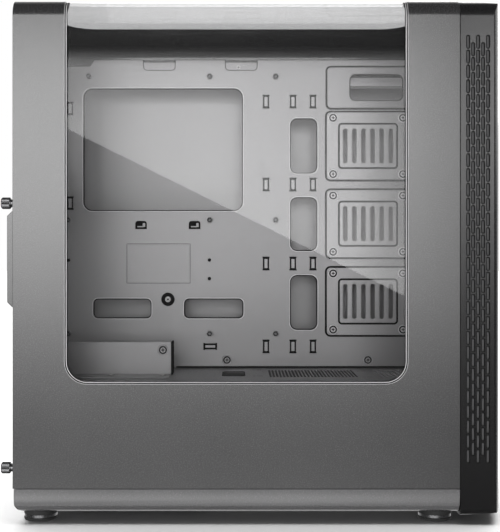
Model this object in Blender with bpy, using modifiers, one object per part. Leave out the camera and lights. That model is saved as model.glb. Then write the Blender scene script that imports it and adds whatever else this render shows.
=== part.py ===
"""Mid-tower desktop computer case with a curved gull-wing window, built empty.

Metres, +X towards the front bezel, -Y towards the window side, +Z up.
The origin is on the surface it stands on, under the middle of its outer box.
"""

import math

import bmesh
import bpy
from mathutils import Matrix

# ---------------------------------------------------------------- driving sizes

GAP = 0.0003  # kept between touching pieces
SHEET = 0.001  # steel sheet
WIDTH = 0.220
HEIGHT = 0.494
HALF = WIDTH / 2
REAR = -0.2298  # rear edge of the side panels
SEAM = 0.1895  # where the side panels meet the bezel
BEZEL_NOSE = 0.242  # front of the bezel, on its middle line
PANEL_BOTTOM = 0.0343
SHOULDER = 0.016  # radius between the sides and the roof

RIDGE = 0.032  # where the two side panels meet on the roof
WINDOW_X = (-0.181, 0.1405)  # opening in the side
WINDOW_Z = 0.1326
WINDOW_R = 0.021
ROOF_WINDOW_X = (-0.200, 0.162)  # opening in the roof, at its far side
ROOF_WINDOW_Y = 0.020
ROOF_WINDOW_R = 0.033
ACRYLIC = 0.003
ACRYLIC_X = (-0.207, 0.169)
ACRYLIC_Z = 0.126

REAR_WALL = -0.2183  # outer face of the recessed rear wall
FRONT_WALL = 0.1863
FLOOR = 0.030
SHROUD_TOP = 0.1309
TRAY_Y = 0.060  # face that takes the motherboard
TRAY_TOP = 0.469
RIM_HALF = 0.1052  # half the rear rim, which stays clear of the sliding acrylic

# ATX board holes on the tray
HOLE_X = -0.205
HOLE_STEPS_X = (0.0, 0.15494, 0.22733)
HOLE_TOP_Z = 0.4508
HOLE_STEPS_Z = (0.0, 0.15748, 0.28194)
STANDOFF_R = 0.003
STANDOFF_H = 0.0065

SLOTS = 7
SLOT_PITCH = 0.02032
SLOT_LOWEST = 0.171

BRACKET_X = 0.1237  # middle of the drive brackets
BRACKET_Z = (0.3746, 0.2893, 0.2040)
BRACKET_SIZE = (0.0903, 0.0738)
BRACKET_HOLES = (0.0766, 0.06172)  # the 2.5-inch drive pattern

FAN_Z = (0.300, 0.165)
FAN_SIZE = 0.120
FAN_DEPTH = 0.025
FAN_BLADES = 7
SPARE_FAN_Z = 0.4225

SHROUD_VENT = ((0.0120, 0.1040), (-0.033, 0.038))  # air holes in the shroud's top
SHROUD_CABLES = ((-0.0340, -0.0125), (-0.023, 0.017))
PSU_VENT_X = (-0.188, -0.141, -0.094)  # rear edge of each air hole in the floor

SCREW_Z = (0.3023, 0.0526)
SCREW_Y = 0.101
FOOT_X = (-0.2085, 0.1708)
FOOT_Y = 0.080
FOOT_R = 0.016
BASE_Z = 0.0115
FILTER_X = (-0.2275, -0.052)

PORT_X = 0.213  # middle line of the buttons and sockets
PORT_TOP = 0.4894
USB_Y = (-0.020, -0.038)
AUDIO_Y = (0.030, 0.040)
POWER_KEY = (0.0, 0.0080)  # place along Y, radius
RESET_KEY = (0.0165, 0.0040)
VENT_X = (0.1935, 0.2190)  # slotted strips in the bezel's sides
VENT_Z = (0.052, 0.4665)

# ---------------------------------------------------------------- scene set-up

for old in list(bpy.data.objects):
    bpy.data.objects.remove(old, do_unlink=True)

TOWER = bpy.data.collections.new("computer_tower")
CUTTERS = bpy.data.collections.new("cutters")
bpy.context.scene.collection.children.link(TOWER)
bpy.context.scene.collection.children.link(CUTTERS)


def material(name, colour, roughness, metallic=0.0):
    made = bpy.data.materials.new(name)
    made.use_nodes = True
    shader = made.node_tree.nodes["Principled BSDF"]
    shader.inputs["Base Color"].default_value = (*colour, 1)
    shader.inputs["Roughness"].default_value = roughness
    shader.inputs["Metallic"].default_value = metallic
    return made


COATED = material("coated_steel", (0.05, 0.05, 0.053), 0.5, 0.3)
INSIDE = material("grey_inner_steel", (0.16, 0.16, 0.165), 0.5, 0.3)
PLASTIC = material("black_plastic", (0.03, 0.03, 0.032), 0.5)
DARK = material("dark_plastic", (0.015, 0.015, 0.016), 0.6)
CLEAR = material("acrylic", (0.8, 0.82, 0.85), 0.05)
NICKEL = material("nickel", (0.6, 0.6, 0.6), 0.3, 1.0)
RUBBER = material("rubber", (0.02, 0.02, 0.02), 0.8)
GREEN = material("circuit_board", (0.02, 0.12, 0.05), 0.5)

# ---------------------------------------------------------------- shape helpers

# Each matrix lays a flat outline (u, v) and its depth onto the world's axes.
LAY = {
    "X": Matrix(((0, 0, 1, 0), (1, 0, 0, 0), (0, 1, 0, 0), (0, 0, 0, 1))),
    "Y": Matrix(((1, 0, 0, 0), (0, 0, 1, 0), (0, 1, 0, 0), (0, 0, 0, 1))),
    "Z": Matrix.Identity(4),
}


def add(name, mesh, look, helper=False):
    obj = bpy.data.objects.new(name, mesh)
    (CUTTERS if helper else TOWER).objects.link(obj)
    mesh.materials.append(look)
    if helper:
        obj.hide_render = True
        obj.display_type = "WIRE"
    return obj


def cleaned(bm, name):
    bmesh.ops.remove_doubles(bm, verts=bm.verts, dist=1e-6)
    bmesh.ops.recalc_face_normals(bm, faces=bm.faces)
    mesh = bpy.data.meshes.new(name)
    bm.to_mesh(mesh)
    bm.free()
    return mesh


def arc(u, v, radius, start, end, steps):
    """Points round (u, v) from start to end, in degrees."""
    angles = [math.radians(start + (end - start) * i / steps) for i in range(steps + 1)]
    return [(u + radius * math.cos(a), v + radius * math.sin(a)) for a in angles]


def circle(u, v, radius, sides=16):
    return arc(u, v, radius, 0, 360, sides)[:-1]


def rect(u, v, radius=0.0, steps=3):
    """A rectangle between u[0], u[1] and v[0], v[1], with rounded corners if asked."""
    if not radius:
        return [(u[0], v[0]), (u[1], v[0]), (u[1], v[1]), (u[0], v[1])]
    low_u, high_u = u[0] + radius, u[1] - radius
    low_v, high_v = v[0] + radius, v[1] - radius
    return (
        arc(low_u, low_v, radius, 180, 270, steps)
        + arc(high_u, low_v, radius, 270, 360, steps)
        + arc(high_u, high_v, radius, 0, 90, steps)
        + arc(low_u, high_v, radius, 90, 180, steps)
    )


def about(u, v, width, height, radius=0.0, steps=3):
    """A rectangle given by its middle."""
    sides = ((u - width / 2, u + width / 2), (v - height / 2, v + height / 2))
    return rect(*sides, radius, steps)


def plate(name, axis, span, loops, look, helper=False):
    """A flat outline, loops[0], less the holes after it, as deep along axis as span."""
    curve = bpy.data.curves.new(name, "CURVE")
    curve.dimensions = "2D"
    curve.fill_mode = "BOTH"
    curve.extrude = abs(span[1] - span[0]) / 2
    for loop in loops:
        spline = curve.splines.new("POLY")
        spline.points.add(len(loop) - 1)
        for point, (u, v) in zip(spline.points, loop):
            point.co = (u, v, 0, 1)
        spline.use_cyclic_u = True
    guide = bpy.data.objects.new(name + "_outline", curve)
    CUTTERS.objects.link(guide)
    graph = bpy.context.evaluated_depsgraph_get()
    flat = bpy.data.meshes.new_from_object(guide.evaluated_get(graph))
    bm = bmesh.new()
    bm.from_mesh(flat)
    bmesh.ops.translate(bm, vec=(0, 0, sum(span) / 2), verts=bm.verts)
    bmesh.ops.transform(bm, matrix=LAY[axis], verts=bm.verts)
    bpy.data.objects.remove(guide)
    bpy.data.meshes.remove(flat)
    return add(name, cleaned(bm, name), look, helper)


def box(name, x, y, z, look, helper=False):
    bm = bmesh.new()
    bmesh.ops.create_cube(bm, size=1)
    size = (x[1] - x[0], y[1] - y[0], z[1] - z[0])
    middle = (sum(x) / 2, sum(y) / 2, sum(z) / 2)
    bmesh.ops.scale(bm, vec=size, verts=bm.verts)
    bmesh.ops.translate(bm, vec=middle, verts=bm.verts)
    return add(name, cleaned(bm, name), look, helper)


def folded(name, path, x, thickness, look):
    """A sheet along X. Its outer face follows path, (y, z) points clockwise from -Y."""
    bm = bmesh.new()
    rows = [[bm.verts.new((at, y, z)) for at in x] for y, z in path]
    for low, high in zip(rows, rows[1:]):
        bm.faces.new((low[0], low[1], high[1], high[0]))
    mesh = bpy.data.meshes.new(name)
    bm.to_mesh(mesh)
    bm.free()
    sheet = add(name, mesh, look)
    solidify = sheet.modifiers.new("thickness", "SOLIDIFY")
    solidify.thickness = thickness
    solidify.offset = -1
    solidify.use_even_offset = True
    return sheet


def turned(name, profile, place, look, sides=16, upright=False):
    """A round piece about X, or about Z if upright, from (radius, distance along) points."""
    mesh = bpy.data.meshes.new(name)
    points = [(radius, 0, along) for radius, along in reversed(profile)]
    mesh.from_pydata(points, [(i, i + 1) for i in range(len(points) - 1)], [])
    mesh.shade_smooth()
    obj = add(name, mesh, look)
    screw = obj.modifiers.new("turn", "SCREW")
    screw.steps = screw.render_steps = sides
    screw.use_merge_vertices = True
    screw.merge_threshold = 0.00001
    obj.location = place
    obj.rotation_euler = (0, 0 if upright else math.pi / 2, 0)
    return obj


def boolean(target, other, operation):
    modifier = target.modifiers.new(operation.lower(), "BOOLEAN")
    modifier.operation = operation
    modifier.object = other
    return target


def cut(target, *cutters):
    for cutter in cutters:
        boolean(target, cutter, "DIFFERENCE")
    return target


def join(target, *helpers):
    for helper in helpers:
        boolean(target, helper, "UNION")
    return target


# ---------------------------------------------------------------- outer panels


def roof_opening():
    """Cutter for the roof: it widens towards the ridge, where its corners are round."""
    rear, front = ROOF_WINDOW_X
    near = -HALF + SHOULDER
    far = ROOF_WINDOW_Y - ROOF_WINDOW_R
    outline = [(WINDOW_X[0], near), (WINDOW_X[1], near)]
    outline += arc(front - ROOF_WINDOW_R, far, ROOF_WINDOW_R, 0, 90, 6)
    outline += arc(rear + ROOF_WINDOW_R, far, ROOF_WINDOW_R, 90, 180, 6)
    span = (HEIGHT - SHOULDER, HEIGHT + 0.01)
    return plate("roof_opening", "Z", span, [outline], DARK, helper=True)


def side_opening():
    rear, front = WINDOW_X
    low = WINDOW_Z + WINDOW_R
    outline = arc(rear + WINDOW_R, low, WINDOW_R, 180, 270, 6)
    outline += arc(front - WINDOW_R, low, WINDOW_R, 270, 360, 6)
    outline += [(front, HEIGHT + 0.01), (rear, HEIGHT + 0.01)]
    span = (-HALF - 0.01, -HALF + SHOULDER + 0.0001)
    return plate("side_opening", "Y", span, [outline], DARK, helper=True)


def panel_flange(name, side):
    """The rear edge of a side panel, folded in over the rim, with its two screw holes."""
    y = sorted((side * (HALF - SHEET / 2), side * (HALF - 0.0135)))
    holes = [circle(side * SCREW_Y, z, 0.0024, 12) for z in SCREW_Z]
    outline = rect(y, (PANEL_BOTTOM + 0.002, HEIGHT - SHOULDER - 0.002))
    span = (REAR, REAR + 0.0008)
    return plate(name, "X", span, [outline, *holes], COATED, helper=True)


def side_panels():
    top = HEIGHT - SHOULDER
    side = HALF - SHOULDER
    left = [(-HALF, PANEL_BOTTOM)] + arc(-side, top, SHOULDER, 180, 90, 6) + [(RIDGE, HEIGHT)]
    right = [(RIDGE + GAP, HEIGHT)] + arc(side, top, SHOULDER, 90, 0, 6) + [(HALF, PANEL_BOTTOM)]
    window_panel = folded("left_side_panel", left, (REAR, SEAM), SHEET, COATED)
    cut(window_panel, side_opening(), roof_opening())
    join(window_panel, panel_flange("left_flange", -1))
    plain_panel = folded("right_side_panel", right, (REAR, SEAM), SHEET, COATED)
    join(plain_panel, panel_flange("right_flange", 1))


def window():
    """Acrylic sheet bent over the shoulder, under the steel of the left panel."""
    inset = SHEET + GAP
    radius = SHOULDER - inset
    side = HALF - SHOULDER
    path = [(-HALF + inset, ACRYLIC_Z)]
    path += arc(-side, HEIGHT - SHOULDER, radius, 180, 90, 6)
    path += [(RIDGE - 0.005, HEIGHT - inset)]
    folded("side_window", path, ACRYLIC_X, ACRYLIC, CLEAR)


# ---------------------------------------------------------------- chassis


def rear_end():
    half = 0.104
    low, high = 0.0313, 0.486
    slots = [
        about(-0.0105, SLOT_LOWEST + i * SLOT_PITCH, 0.111, 0.014)
        for i in range(SLOTS)
    ]
    io = rect((0.0115, 0.056), (0.300, 0.45875))
    fan = circle(-0.047, 0.385, 0.054, 24)
    supply = rect((-0.090, 0.050), (0.040, 0.118), 0.004, 2)
    loops = [rect((-half, half), (low, high), 0.009), io, fan, supply, *slots]
    plate("rear_wall", "X", (REAR_WALL, REAR_WALL + SHEET), loops, INSIDE)

    opening = ((-0.092, 0.092), (0.045, 0.472))
    holes = [circle(s * SCREW_Y, z, 0.0024, 12) for s in (-1, 1) for z in SCREW_Z]
    face = REAR + 0.0011
    rim = plate(
        "rear_rim",
        "X",
        (face, face + SHEET),
        [rect((-RIM_HALF, RIM_HALF), (low, 0.489), 0.011), rect(*opening), *holes],
        COATED,
    )
    outer = [(low - SHEET, high + SHEET) for low, high in opening]
    walls = [rect(*outer), rect(*[(a - 0.0002, b + 0.0002) for a, b in opening])]
    span = (face + SHEET / 2, REAR_WALL - GAP)
    join(rim, plate("rim_walls", "X", span, walls, COATED, helper=True))
    box("rear_top_trim", (-0.2323, face - GAP), (-0.090, 0.090), (0.4745, 0.485), PLASTIC)


def slot_covers():
    """One L-shaped cover in each slot, with its screw tab bent out of the back."""
    face = REAR_WALL + SHEET
    plan = [
        (face, -0.0647),
        (face, 0.0447),
        (face - 0.0008, 0.0447),
        (face - 0.0008, -0.0639),
        (-0.2285, -0.0639),
        (-0.2285, -0.0647),
    ]
    for i in range(SLOTS):
        z = SLOT_LOWEST + i * SLOT_PITCH
        plate(f"slot_cover_{i + 1}", "Z", (z - 0.0067, z + 0.0067), [plan], INSIDE)


def slot_screw_cover():
    """The hump over the ends of the slot tabs, chamfered at both ends, screwed to the rim."""
    rear, front, wall = -0.238, REAR + 0.0008, 0.0012
    side, ends, chamfer = (-0.0960, -0.0586), (0.204, 0.295), 0.0045
    outline = [
        (front, ends[0]),
        (rear + chamfer, ends[0]),
        (rear, ends[0] + chamfer),
        (rear, ends[1] - chamfer),
        (rear + chamfer, ends[1]),
        (front, ends[1]),
    ]
    cover = plate("slot_screw_cover", "Y", side, [outline], COATED)
    inner = (side[0] + wall, side[1] - wall)
    room = (ends[0] + chamfer, ends[1] - chamfer)
    cut(cover, box("cover_hollow", (rear + wall, front + 0.001), inner, room, DARK, helper=True))


def tray_openings():
    """Holes of the motherboard tray, as outlines over X and Z."""
    cpu = rect((-0.1891, -0.0134), (0.3033, 0.4383), 0.0099)
    cable = [(0.3445, 0.4054), (0.2594, 0.3187), (0.1726, 0.2330)]
    upright = [rect((0.0382, 0.0684), z, 0.0077) for z in cable]
    flat = [rect(x, (0.1853, 0.2072), 0.0055) for x in ((-0.1781, -0.1139), (-0.0782, -0.0129))]
    upper = rect((0.1036, 0.1628), (0.4242, 0.4536), 0.0066)
    behind = [about(BRACKET_X, z, 0.062, 0.044, 0.003, 2) for z in BRACKET_Z]
    small = [about(x, 0.2879, 0.013, 0.0088) for x in (-0.1254, -0.0666)]
    return [cpu, *upright, *flat, upper, *behind, *small]


def tray():
    rear, front = REAR_WALL + SHEET + GAP, FRONT_WALL - GAP
    notch = 0.0114
    edge = [(rear, 0.1312), (front, 0.1312), (front, TRAY_TOP)]
    for low, high in ((-0.0332, 0.0025), (-0.1232, -0.0875)):
        edge += [(high, TRAY_TOP), (high - 0.001, TRAY_TOP - notch)]
        edge += [(low + 0.001, TRAY_TOP - notch), (low, TRAY_TOP)]
    edge += [(-0.1765, TRAY_TOP), (-0.1815, TRAY_TOP - 0.007), (rear, TRAY_TOP - 0.007)]
    sheet = plate("motherboard_tray", "Y", (TRAY_Y, TRAY_Y + SHEET), [edge, *tray_openings()], INSIDE)
    for row, down in enumerate(HOLE_STEPS_Z):
        for column, along in enumerate(HOLE_STEPS_X):
            shift = 0.02286 if (row, column) == (0, 0) else 0.0
            outline = circle(HOLE_X + along + shift, HOLE_TOP_Z - down, STANDOFF_R, 6)
            span = (TRAY_Y - STANDOFF_H, TRAY_Y + SHEET / 2)
            join(sheet, plate(f"standoff_{row}_{column}", "Y", span, [outline], NICKEL, helper=True))


def base(rear, front):
    """Plastic base in four parts round the way that air takes to the filter."""
    side, way_rear, way_front, way_side = HALF - GAP, -0.190, -0.050, 0.060
    right = [(side, PANEL_BOTTOM - 0.0004), (side, 0.026), (side - 0.0012, 0.018)]
    right += arc(side - 0.0082, BASE_Z + 0.007, 0.0058, -15, -90, 3)[:-1]
    right += [(side - 0.0095, BASE_Z)]
    left = [(-y, z) for y, z in reversed(right)]
    wall = 0.002
    folded("base_rear", right + left, (rear, way_rear - GAP), wall, PLASTIC)
    folded("base_front", right + left, (way_front + GAP, front), wall, PLASTIC)
    middle = (way_rear, way_front)
    folded("base_right", right + [(way_side, BASE_Z)], middle, wall, PLASTIC)
    folded("base_left", [(-way_side, BASE_Z)] + left, middle, wall, PLASTIC)


def floor_and_base():
    rear, front = REAR_WALL - 0.009, FRONT_WALL - 0.001
    vent = [rect((x, x + 0.042), (-0.055, 0.055), 0.003, 2) for x in PSU_VENT_X]
    outline = rect((rear, front), (-0.105, 0.105))
    plate("chassis_floor", "Z", (FLOOR, FLOOR + SHEET), [outline, *vent], INSIDE)

    base(REAR + 0.0011, SEAM - GAP)

    outline = rect(FILTER_X, (-0.068, 0.068), 0.003, 2)
    plate("psu_filter", "Z", (0.0245, 0.0275), [outline], DARK)
    rail = [
        (0.064, 0.022),
        (0.071, 0.022),
        (0.071, 0.0297),
        (0.0685, 0.0297),
        (0.0685, 0.0238),
        (0.064, 0.0238),
    ]
    span = (-0.222, FILTER_X[1])
    plate("filter_rail_right", "X", span, [rail], PLASTIC)
    plate("filter_rail_left", "X", span, [[(-y, z) for y, z in rail]], PLASTIC)


def feet():
    top, chamfer = BASE_Z - GAP, 0.0015
    profile = [(0, 0), (FOOT_R - chamfer, 0), (FOOT_R, chamfer), (FOOT_R, top), (0, top)]
    for x, end in zip(FOOT_X, ("rear", "front")):
        for y, side in ((-FOOT_Y, "left"), (FOOT_Y, "right")):
            turned(f"foot_{end}_{side}", profile, (x, y, 0), RUBBER, 20, upright=True)


def shroud():
    rear, front = REAR_WALL + SHEET + GAP, FRONT_WALL - GAP
    path = [(-0.105, FLOOR + SHEET + GAP), (-0.105, SHROUD_TOP), (0.062, SHROUD_TOP)]
    sheet = folded("psu_shroud", path, (rear, front), SHEET, INSIDE)
    span = (SHROUD_TOP - 0.01, SHROUD_TOP + 0.01)
    for name, (x, y) in (("vent", SHROUD_VENT), ("cables", SHROUD_CABLES)):
        cut(sheet, plate(f"shroud_{name}", "Z", span, [rect(x, y, 0.002, 2)], DARK, helper=True))

    base, top = SHROUD_TOP + GAP, 0.1648
    face, end = -0.0135, -0.0876
    inside = face + SHEET / 2  # the flanges start within the plate
    cover = box("shroud_cover_plate", (rear, end), (face, face + SHEET), (base, top), INSIDE)
    flange = (base, base + SHEET)
    foot = box("cover_foot", (rear, end), (-0.049, inside), flange, INSIDE, helper=True)
    side = box("cover_side", (end - SHEET, end), (inside, 0.0115), (base, top), INSIDE, helper=True)
    join(cover, foot, side)


def front_end():
    fans = [circle(0, z, 0.057, 24) for z in FAN_Z]
    spare = circle(0, SPARE_FAN_Z, 0.050, 24)
    outline = rect((-0.106, 0.106), (FLOOR + SHEET + GAP, 0.486))
    span = (FRONT_WALL, FRONT_WALL + SHEET)
    plate("front_wall", "X", span, [outline, *fans, spare], INSIDE)
    for name, x in (("roof_bar_rear", (-0.2270, -0.2075)), ("roof_bar_front", (0.170, 0.1855))):
        box(name, x, (-0.090, 0.090), (0.4866, 0.4878), COATED)


def fan_frame(i, z, start):
    bolt = 0.0525
    outline = about(0, z, FAN_SIZE, FAN_SIZE, 0.006, 2)
    bolts = [circle(a * bolt, z + b * bolt, 0.0022, 8) for a in (-1, 1) for b in (-1, 1)]
    loops = [outline, circle(0, z, 0.058, 28), *bolts]
    frame = plate(f"fan_frame_{i}", "X", (start, start + FAN_DEPTH), loops, DARK)

    span = (start + 0.0002, start + 0.0030)
    join(frame, plate(f"fan_hub_{i}", "X", span, [circle(0, z, 0.020)], DARK, helper=True))
    strut = (span[0], span[1] - 0.0004)
    for j in range(4):
        reach = (0.015, FAN_SIZE / 2 - 0.0005)
        bar = box(f"fan_strut_{i}_{j}", strut, (-0.002, 0.002), reach, DARK, helper=True)
        bar.location = (0, 0, z)
        bar.rotation_euler = (math.radians(45 + 90 * j), 0, 0)
        join(frame, bar)


def fan_rotor(i, z, middle):
    hub = [(0, -0.010), (0.019, -0.010), (0.019, 0.0085), (0.0175, 0.010), (0, 0.010)]
    rotor = turned(f"fan_rotor_{i}", hub, (middle, 0, z), DARK, 21)
    pitch = Matrix.Rotation(math.radians(50), 4, "Z")
    for j in range(FAN_BLADES):
        reach = (0.016, 0.055)
        blade = box(f"fan_blade_{i}_{j}", (-0.0007, 0.0007), (-0.010, 0.010), reach, DARK, helper=True)
        turn = Matrix.Rotation(2 * math.pi * j / FAN_BLADES, 4, "X")
        blade.matrix_world = Matrix.Translation((middle, 0, z)) @ turn @ pitch
        join(rotor, blade)


def fans():
    start = FRONT_WALL + SHEET + GAP
    for i, z in enumerate(FAN_Z, 1):
        fan_frame(i, z, start)
        fan_rotor(i, z, start + 0.0145)


def drive_brackets():
    """Three plates for 2.5-inch drives, each with six tall slots and four screws."""
    for i, z in enumerate(BRACKET_Z):
        slots = [
            about(BRACKET_X + 0.010 * (j - 2.5), z, 0.0047, 0.0377, 0.0018, 2)
            for j in range(6)
        ]
        dx, dz = BRACKET_HOLES[0] / 2, BRACKET_HOLES[1] / 2
        holes = [
            circle(BRACKET_X + a * dx, z + b * dz, 0.0018, 8)
            for a in (-1, 1)
            for b in (-1, 1)
        ]
        outline = about(BRACKET_X, z, *BRACKET_SIZE, 0.004, 2)
        span = (TRAY_Y - GAP - 0.0012, TRAY_Y - GAP)
        plate(f"drive_bracket_{i + 1}", "Y", span, [outline, *slots, *holes], INSIDE)


def drive_cage():
    x, z = (0.070, 0.176), (FLOOR + SHEET + GAP, 0.104)
    inner = [(low + SHEET, high - SHEET) for low, high in (x, z)]
    plate("drive_cage", "Y", (-0.058, 0.057), [rect(x, z), rect(*inner)], INSIDE)
    for i in range(2):
        low = z[0] + 0.0040 + 0.034 * i
        channel = [
            (x[0] + 0.0015, low),
            (x[1] - 0.0015, low),
            (x[1] - 0.0015, low + 0.026),
            (x[1] - 0.0040, low + 0.026),
            (x[1] - 0.0040, low + 0.003),
            (x[0] + 0.0040, low + 0.003),
            (x[0] + 0.0040, low + 0.026),
            (x[0] + 0.0015, low + 0.026),
        ]
        caddy = plate(f"drive_tray_{i + 1}", "Y", (-0.056, 0.060), [channel], DARK)
        face = (x[0] + 0.0015, x[1] - 0.0015)
        grip = box(f"caddy_face_{i}", face, (0.0597, 0.0645), (low, low + 0.026), DARK, helper=True)
        join(caddy, grip)


# ---------------------------------------------------------------- bezel


def bezel_shape(name, inset, back, look, helper):
    """The bezel's bulk, inset from its outer face: two outlines and a plan in common."""
    side, top, low = HALF - inset, 0.4934 - inset, 0.0092 + inset
    section = (
        arc(side - 0.006, low + 0.006, 0.006, 270, 360, 2)
        + arc(side - SHOULDER + inset, top - SHOULDER + inset, SHOULDER - inset, 0, 90, 4)
        + arc(-side + SHOULDER - inset, top - SHOULDER + inset, SHOULDER - inset, 90, 180, 4)
        + arc(-side + 0.006, low + 0.006, 0.006, 180, 270, 2)
    )
    bulk = plate(name, "X", (back, 0.260), [section], look, helper)

    nose = BEZEL_NOSE - inset
    curve = 0.340  # radius of the front, seen from above
    edge = side - 0.007
    front = [(nose - y * y / (2 * curve), y) for y in (edge * (1 - i / 5) for i in range(11))]
    corner = front[0][0] - 0.0052
    plan = [(back - 0.001, side + 0.001), (corner - 0.001, side + 0.001), (corner, side)]
    plan += [(corner + 0.0030, side - 0.0020), *front, (corner + 0.0030, -side + 0.0020)]
    plan += [(corner, -side), (corner - 0.001, -side - 0.001), (back - 0.001, -side - 0.001)]
    boolean(bulk, plate(name + "_plan", "Z", (0, 0.5), [plan], look, True), "INTERSECT")

    slope = [
        (back - 0.002, low - 0.0002),
        (0.236, low + 0.0034),
        (0.246, low + 0.0060),
        (0.246, top - 0.0070),
        (0.236, top - 0.0040),
        (back - 0.002, top + 0.0002),
    ]
    boolean(bulk, plate(name + "_slope", "Y", (-0.2, 0.2), [slope], look, True), "INTERSECT")
    return bulk


def bezel():
    wall = 0.0025
    shell = bezel_shape("front_bezel", 0.0, SEAM + GAP, PLASTIC, False)
    hollow = bezel_shape("bezel_hollow", wall, SEAM - 0.002, DARK, True)
    vents = [
        box(f"vent_opening_{side}", VENT_X, y, VENT_Z, DARK, helper=True)
        for side, y in (("left", (-0.12, -0.10)), ("right", (0.10, 0.12)))
    ]
    ports = box("port_opening", (0.197, 0.229), (-0.050, 0.050), (0.480, 0.50), DARK, helper=True)
    cut(shell, hollow, *vents, ports)
    x, z = [(low + GAP, high - GAP) for low, high in (VENT_X, VENT_Z)]
    for name, side in (("vent_strip_left", -1), ("vent_strip_right", 1)):
        y = sorted((side * (HALF - 0.0004), side * (HALF - 0.0022)))
        box(name, x, y, z, PLASTIC)
    outline = rect((-0.080, 0.080), (0.060, 0.460), 0.004, 2)
    plate("front_filter", "X", (0.2155, 0.2180), [outline], DARK)


def port_panel():
    """Buttons and sockets on a small shelf in the top of the bezel."""
    usb = [about(PORT_X, y, 0.0062, 0.0136, 0.001, 2) for y in USB_Y]
    jacks = [circle(PORT_X, y, 0.0034, 12) for y in AUDIO_Y]
    keys = [circle(PORT_X, y, radius + GAP, 20) for y, radius in (POWER_KEY, RESET_KEY)]
    outline = rect((0.1973, 0.2287), (-0.0497, 0.0497), 0.002, 2)
    span = (PORT_TOP - 0.0024, PORT_TOP)
    plate("port_panel", "Z", span, [outline, *usb, *jacks, *keys], DARK)

    board_top = 0.4760
    outline = rect((0.1985, 0.2275), (-0.048, 0.048))
    plate("port_board", "Z", (board_top - 0.0016, board_top), [outline], GREEN)
    socket = (board_top + GAP, PORT_TOP - 0.0027)
    for i, y in enumerate(USB_Y, 1):
        loops = [about(PORT_X, y, 0.0076, 0.0150), about(PORT_X, y, 0.0050, 0.0126)]
        plate(f"usb_socket_{i}", "Z", socket, loops, NICKEL)
    holes = [circle(PORT_X, y, 0.0018, 10) for y in AUDIO_Y]
    block = about(PORT_X, sum(AUDIO_Y) / 2, 0.010, 0.020)
    plate("audio_sockets", "Z", socket, [block, *holes], DARK)

    stem, crown = -0.0095, 0.0005
    for name, (y, radius) in (("power_button", POWER_KEY), ("reset_button", RESET_KEY)):
        profile = [(0, stem), (radius, stem), (radius, 0), (radius - crown, crown), (0, crown)]
        turned(name, profile, (PORT_X, y, PORT_TOP), PLASTIC, 20, upright=True)


def thumbscrews():
    profile = [
        (0, 0.0),
        (0.0050, 0.0),
        (0.0055, 0.0008),
        (0.0055, 0.0088),
        (0.0036, 0.0096),
        (0.0036, 0.0119),
        (0.0019, 0.0119),
        (0.0019, 0.0190),
        (0, 0.0190),
    ]
    for side, label in ((-1, "left"), (1, "right")):
        for z, place in zip(SCREW_Z, ("upper", "lower")):
            turned(f"thumbscrew_{label}_{place}", profile, (-0.242, side * SCREW_Y, z), NICKEL, 14)


side_panels()
window()
rear_end()
slot_covers()
slot_screw_cover()
tray()
floor_and_base()
feet()
shroud()
front_end()
fans()
drive_brackets()
drive_cage()
bezel()
port_panel()
thumbscrews()
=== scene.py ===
import math

import bmesh
import bpy
from mathutils import Matrix, Vector
from mathutils.geometry import delaunay_2d_cdt

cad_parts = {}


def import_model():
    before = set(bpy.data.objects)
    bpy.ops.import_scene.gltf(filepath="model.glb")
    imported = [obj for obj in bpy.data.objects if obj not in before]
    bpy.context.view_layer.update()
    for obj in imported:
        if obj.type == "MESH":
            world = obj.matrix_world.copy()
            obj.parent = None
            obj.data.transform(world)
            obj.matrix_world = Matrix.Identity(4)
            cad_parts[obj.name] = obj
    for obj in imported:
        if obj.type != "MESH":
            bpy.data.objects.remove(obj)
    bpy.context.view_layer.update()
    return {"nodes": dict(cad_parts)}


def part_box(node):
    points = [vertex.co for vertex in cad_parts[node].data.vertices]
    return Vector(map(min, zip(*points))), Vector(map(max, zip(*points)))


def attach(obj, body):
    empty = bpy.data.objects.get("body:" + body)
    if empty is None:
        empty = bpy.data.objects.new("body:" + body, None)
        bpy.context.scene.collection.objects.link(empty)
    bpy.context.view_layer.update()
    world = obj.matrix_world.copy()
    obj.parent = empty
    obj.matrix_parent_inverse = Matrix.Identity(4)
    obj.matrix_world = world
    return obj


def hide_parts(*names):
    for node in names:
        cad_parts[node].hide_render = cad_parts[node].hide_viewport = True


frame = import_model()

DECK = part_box("left_side_panel")
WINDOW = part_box("side_window")
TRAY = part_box("motherboard_tray")
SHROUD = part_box("psu_shroud")
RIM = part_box("rear_rim")
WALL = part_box("rear_wall")
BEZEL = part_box("front_bezel")
BASE = (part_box("base_rear")[0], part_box("base_front")[1])

HALF = -DECK[0].y
TOP = DECK[1].z
REAR, SEAM = DECK[0].x, DECK[1].x
LOW = DECK[0].z
RIDGE = DECK[1].y
R = 0.016  # shoulder radius
SHEET = 0.001
TRAY_Y = TRAY[0].y + 0.0065  # the tray's face, behind its standoffs
SIDE_LENGTH = TOP - R - LOW  # flat side, bottom edge to shoulder
BEND_LENGTH = R * math.pi / 2
CHASSIS = "chassis"
CORNERS = [(a, b) for a in (-1, 1) for b in (-1, 1)]
SCREW_Y, SCREW_Z = 0.101, (0.3023, 0.0526)  # thumbscrews: off the middle, and their heights
FAN_Z = (0.300, 0.165)
FAN_BOLT = 0.0525  # a 120 mm fan's bolt holes, from its middle

# ---------------------------------------------------------------- materials


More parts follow.
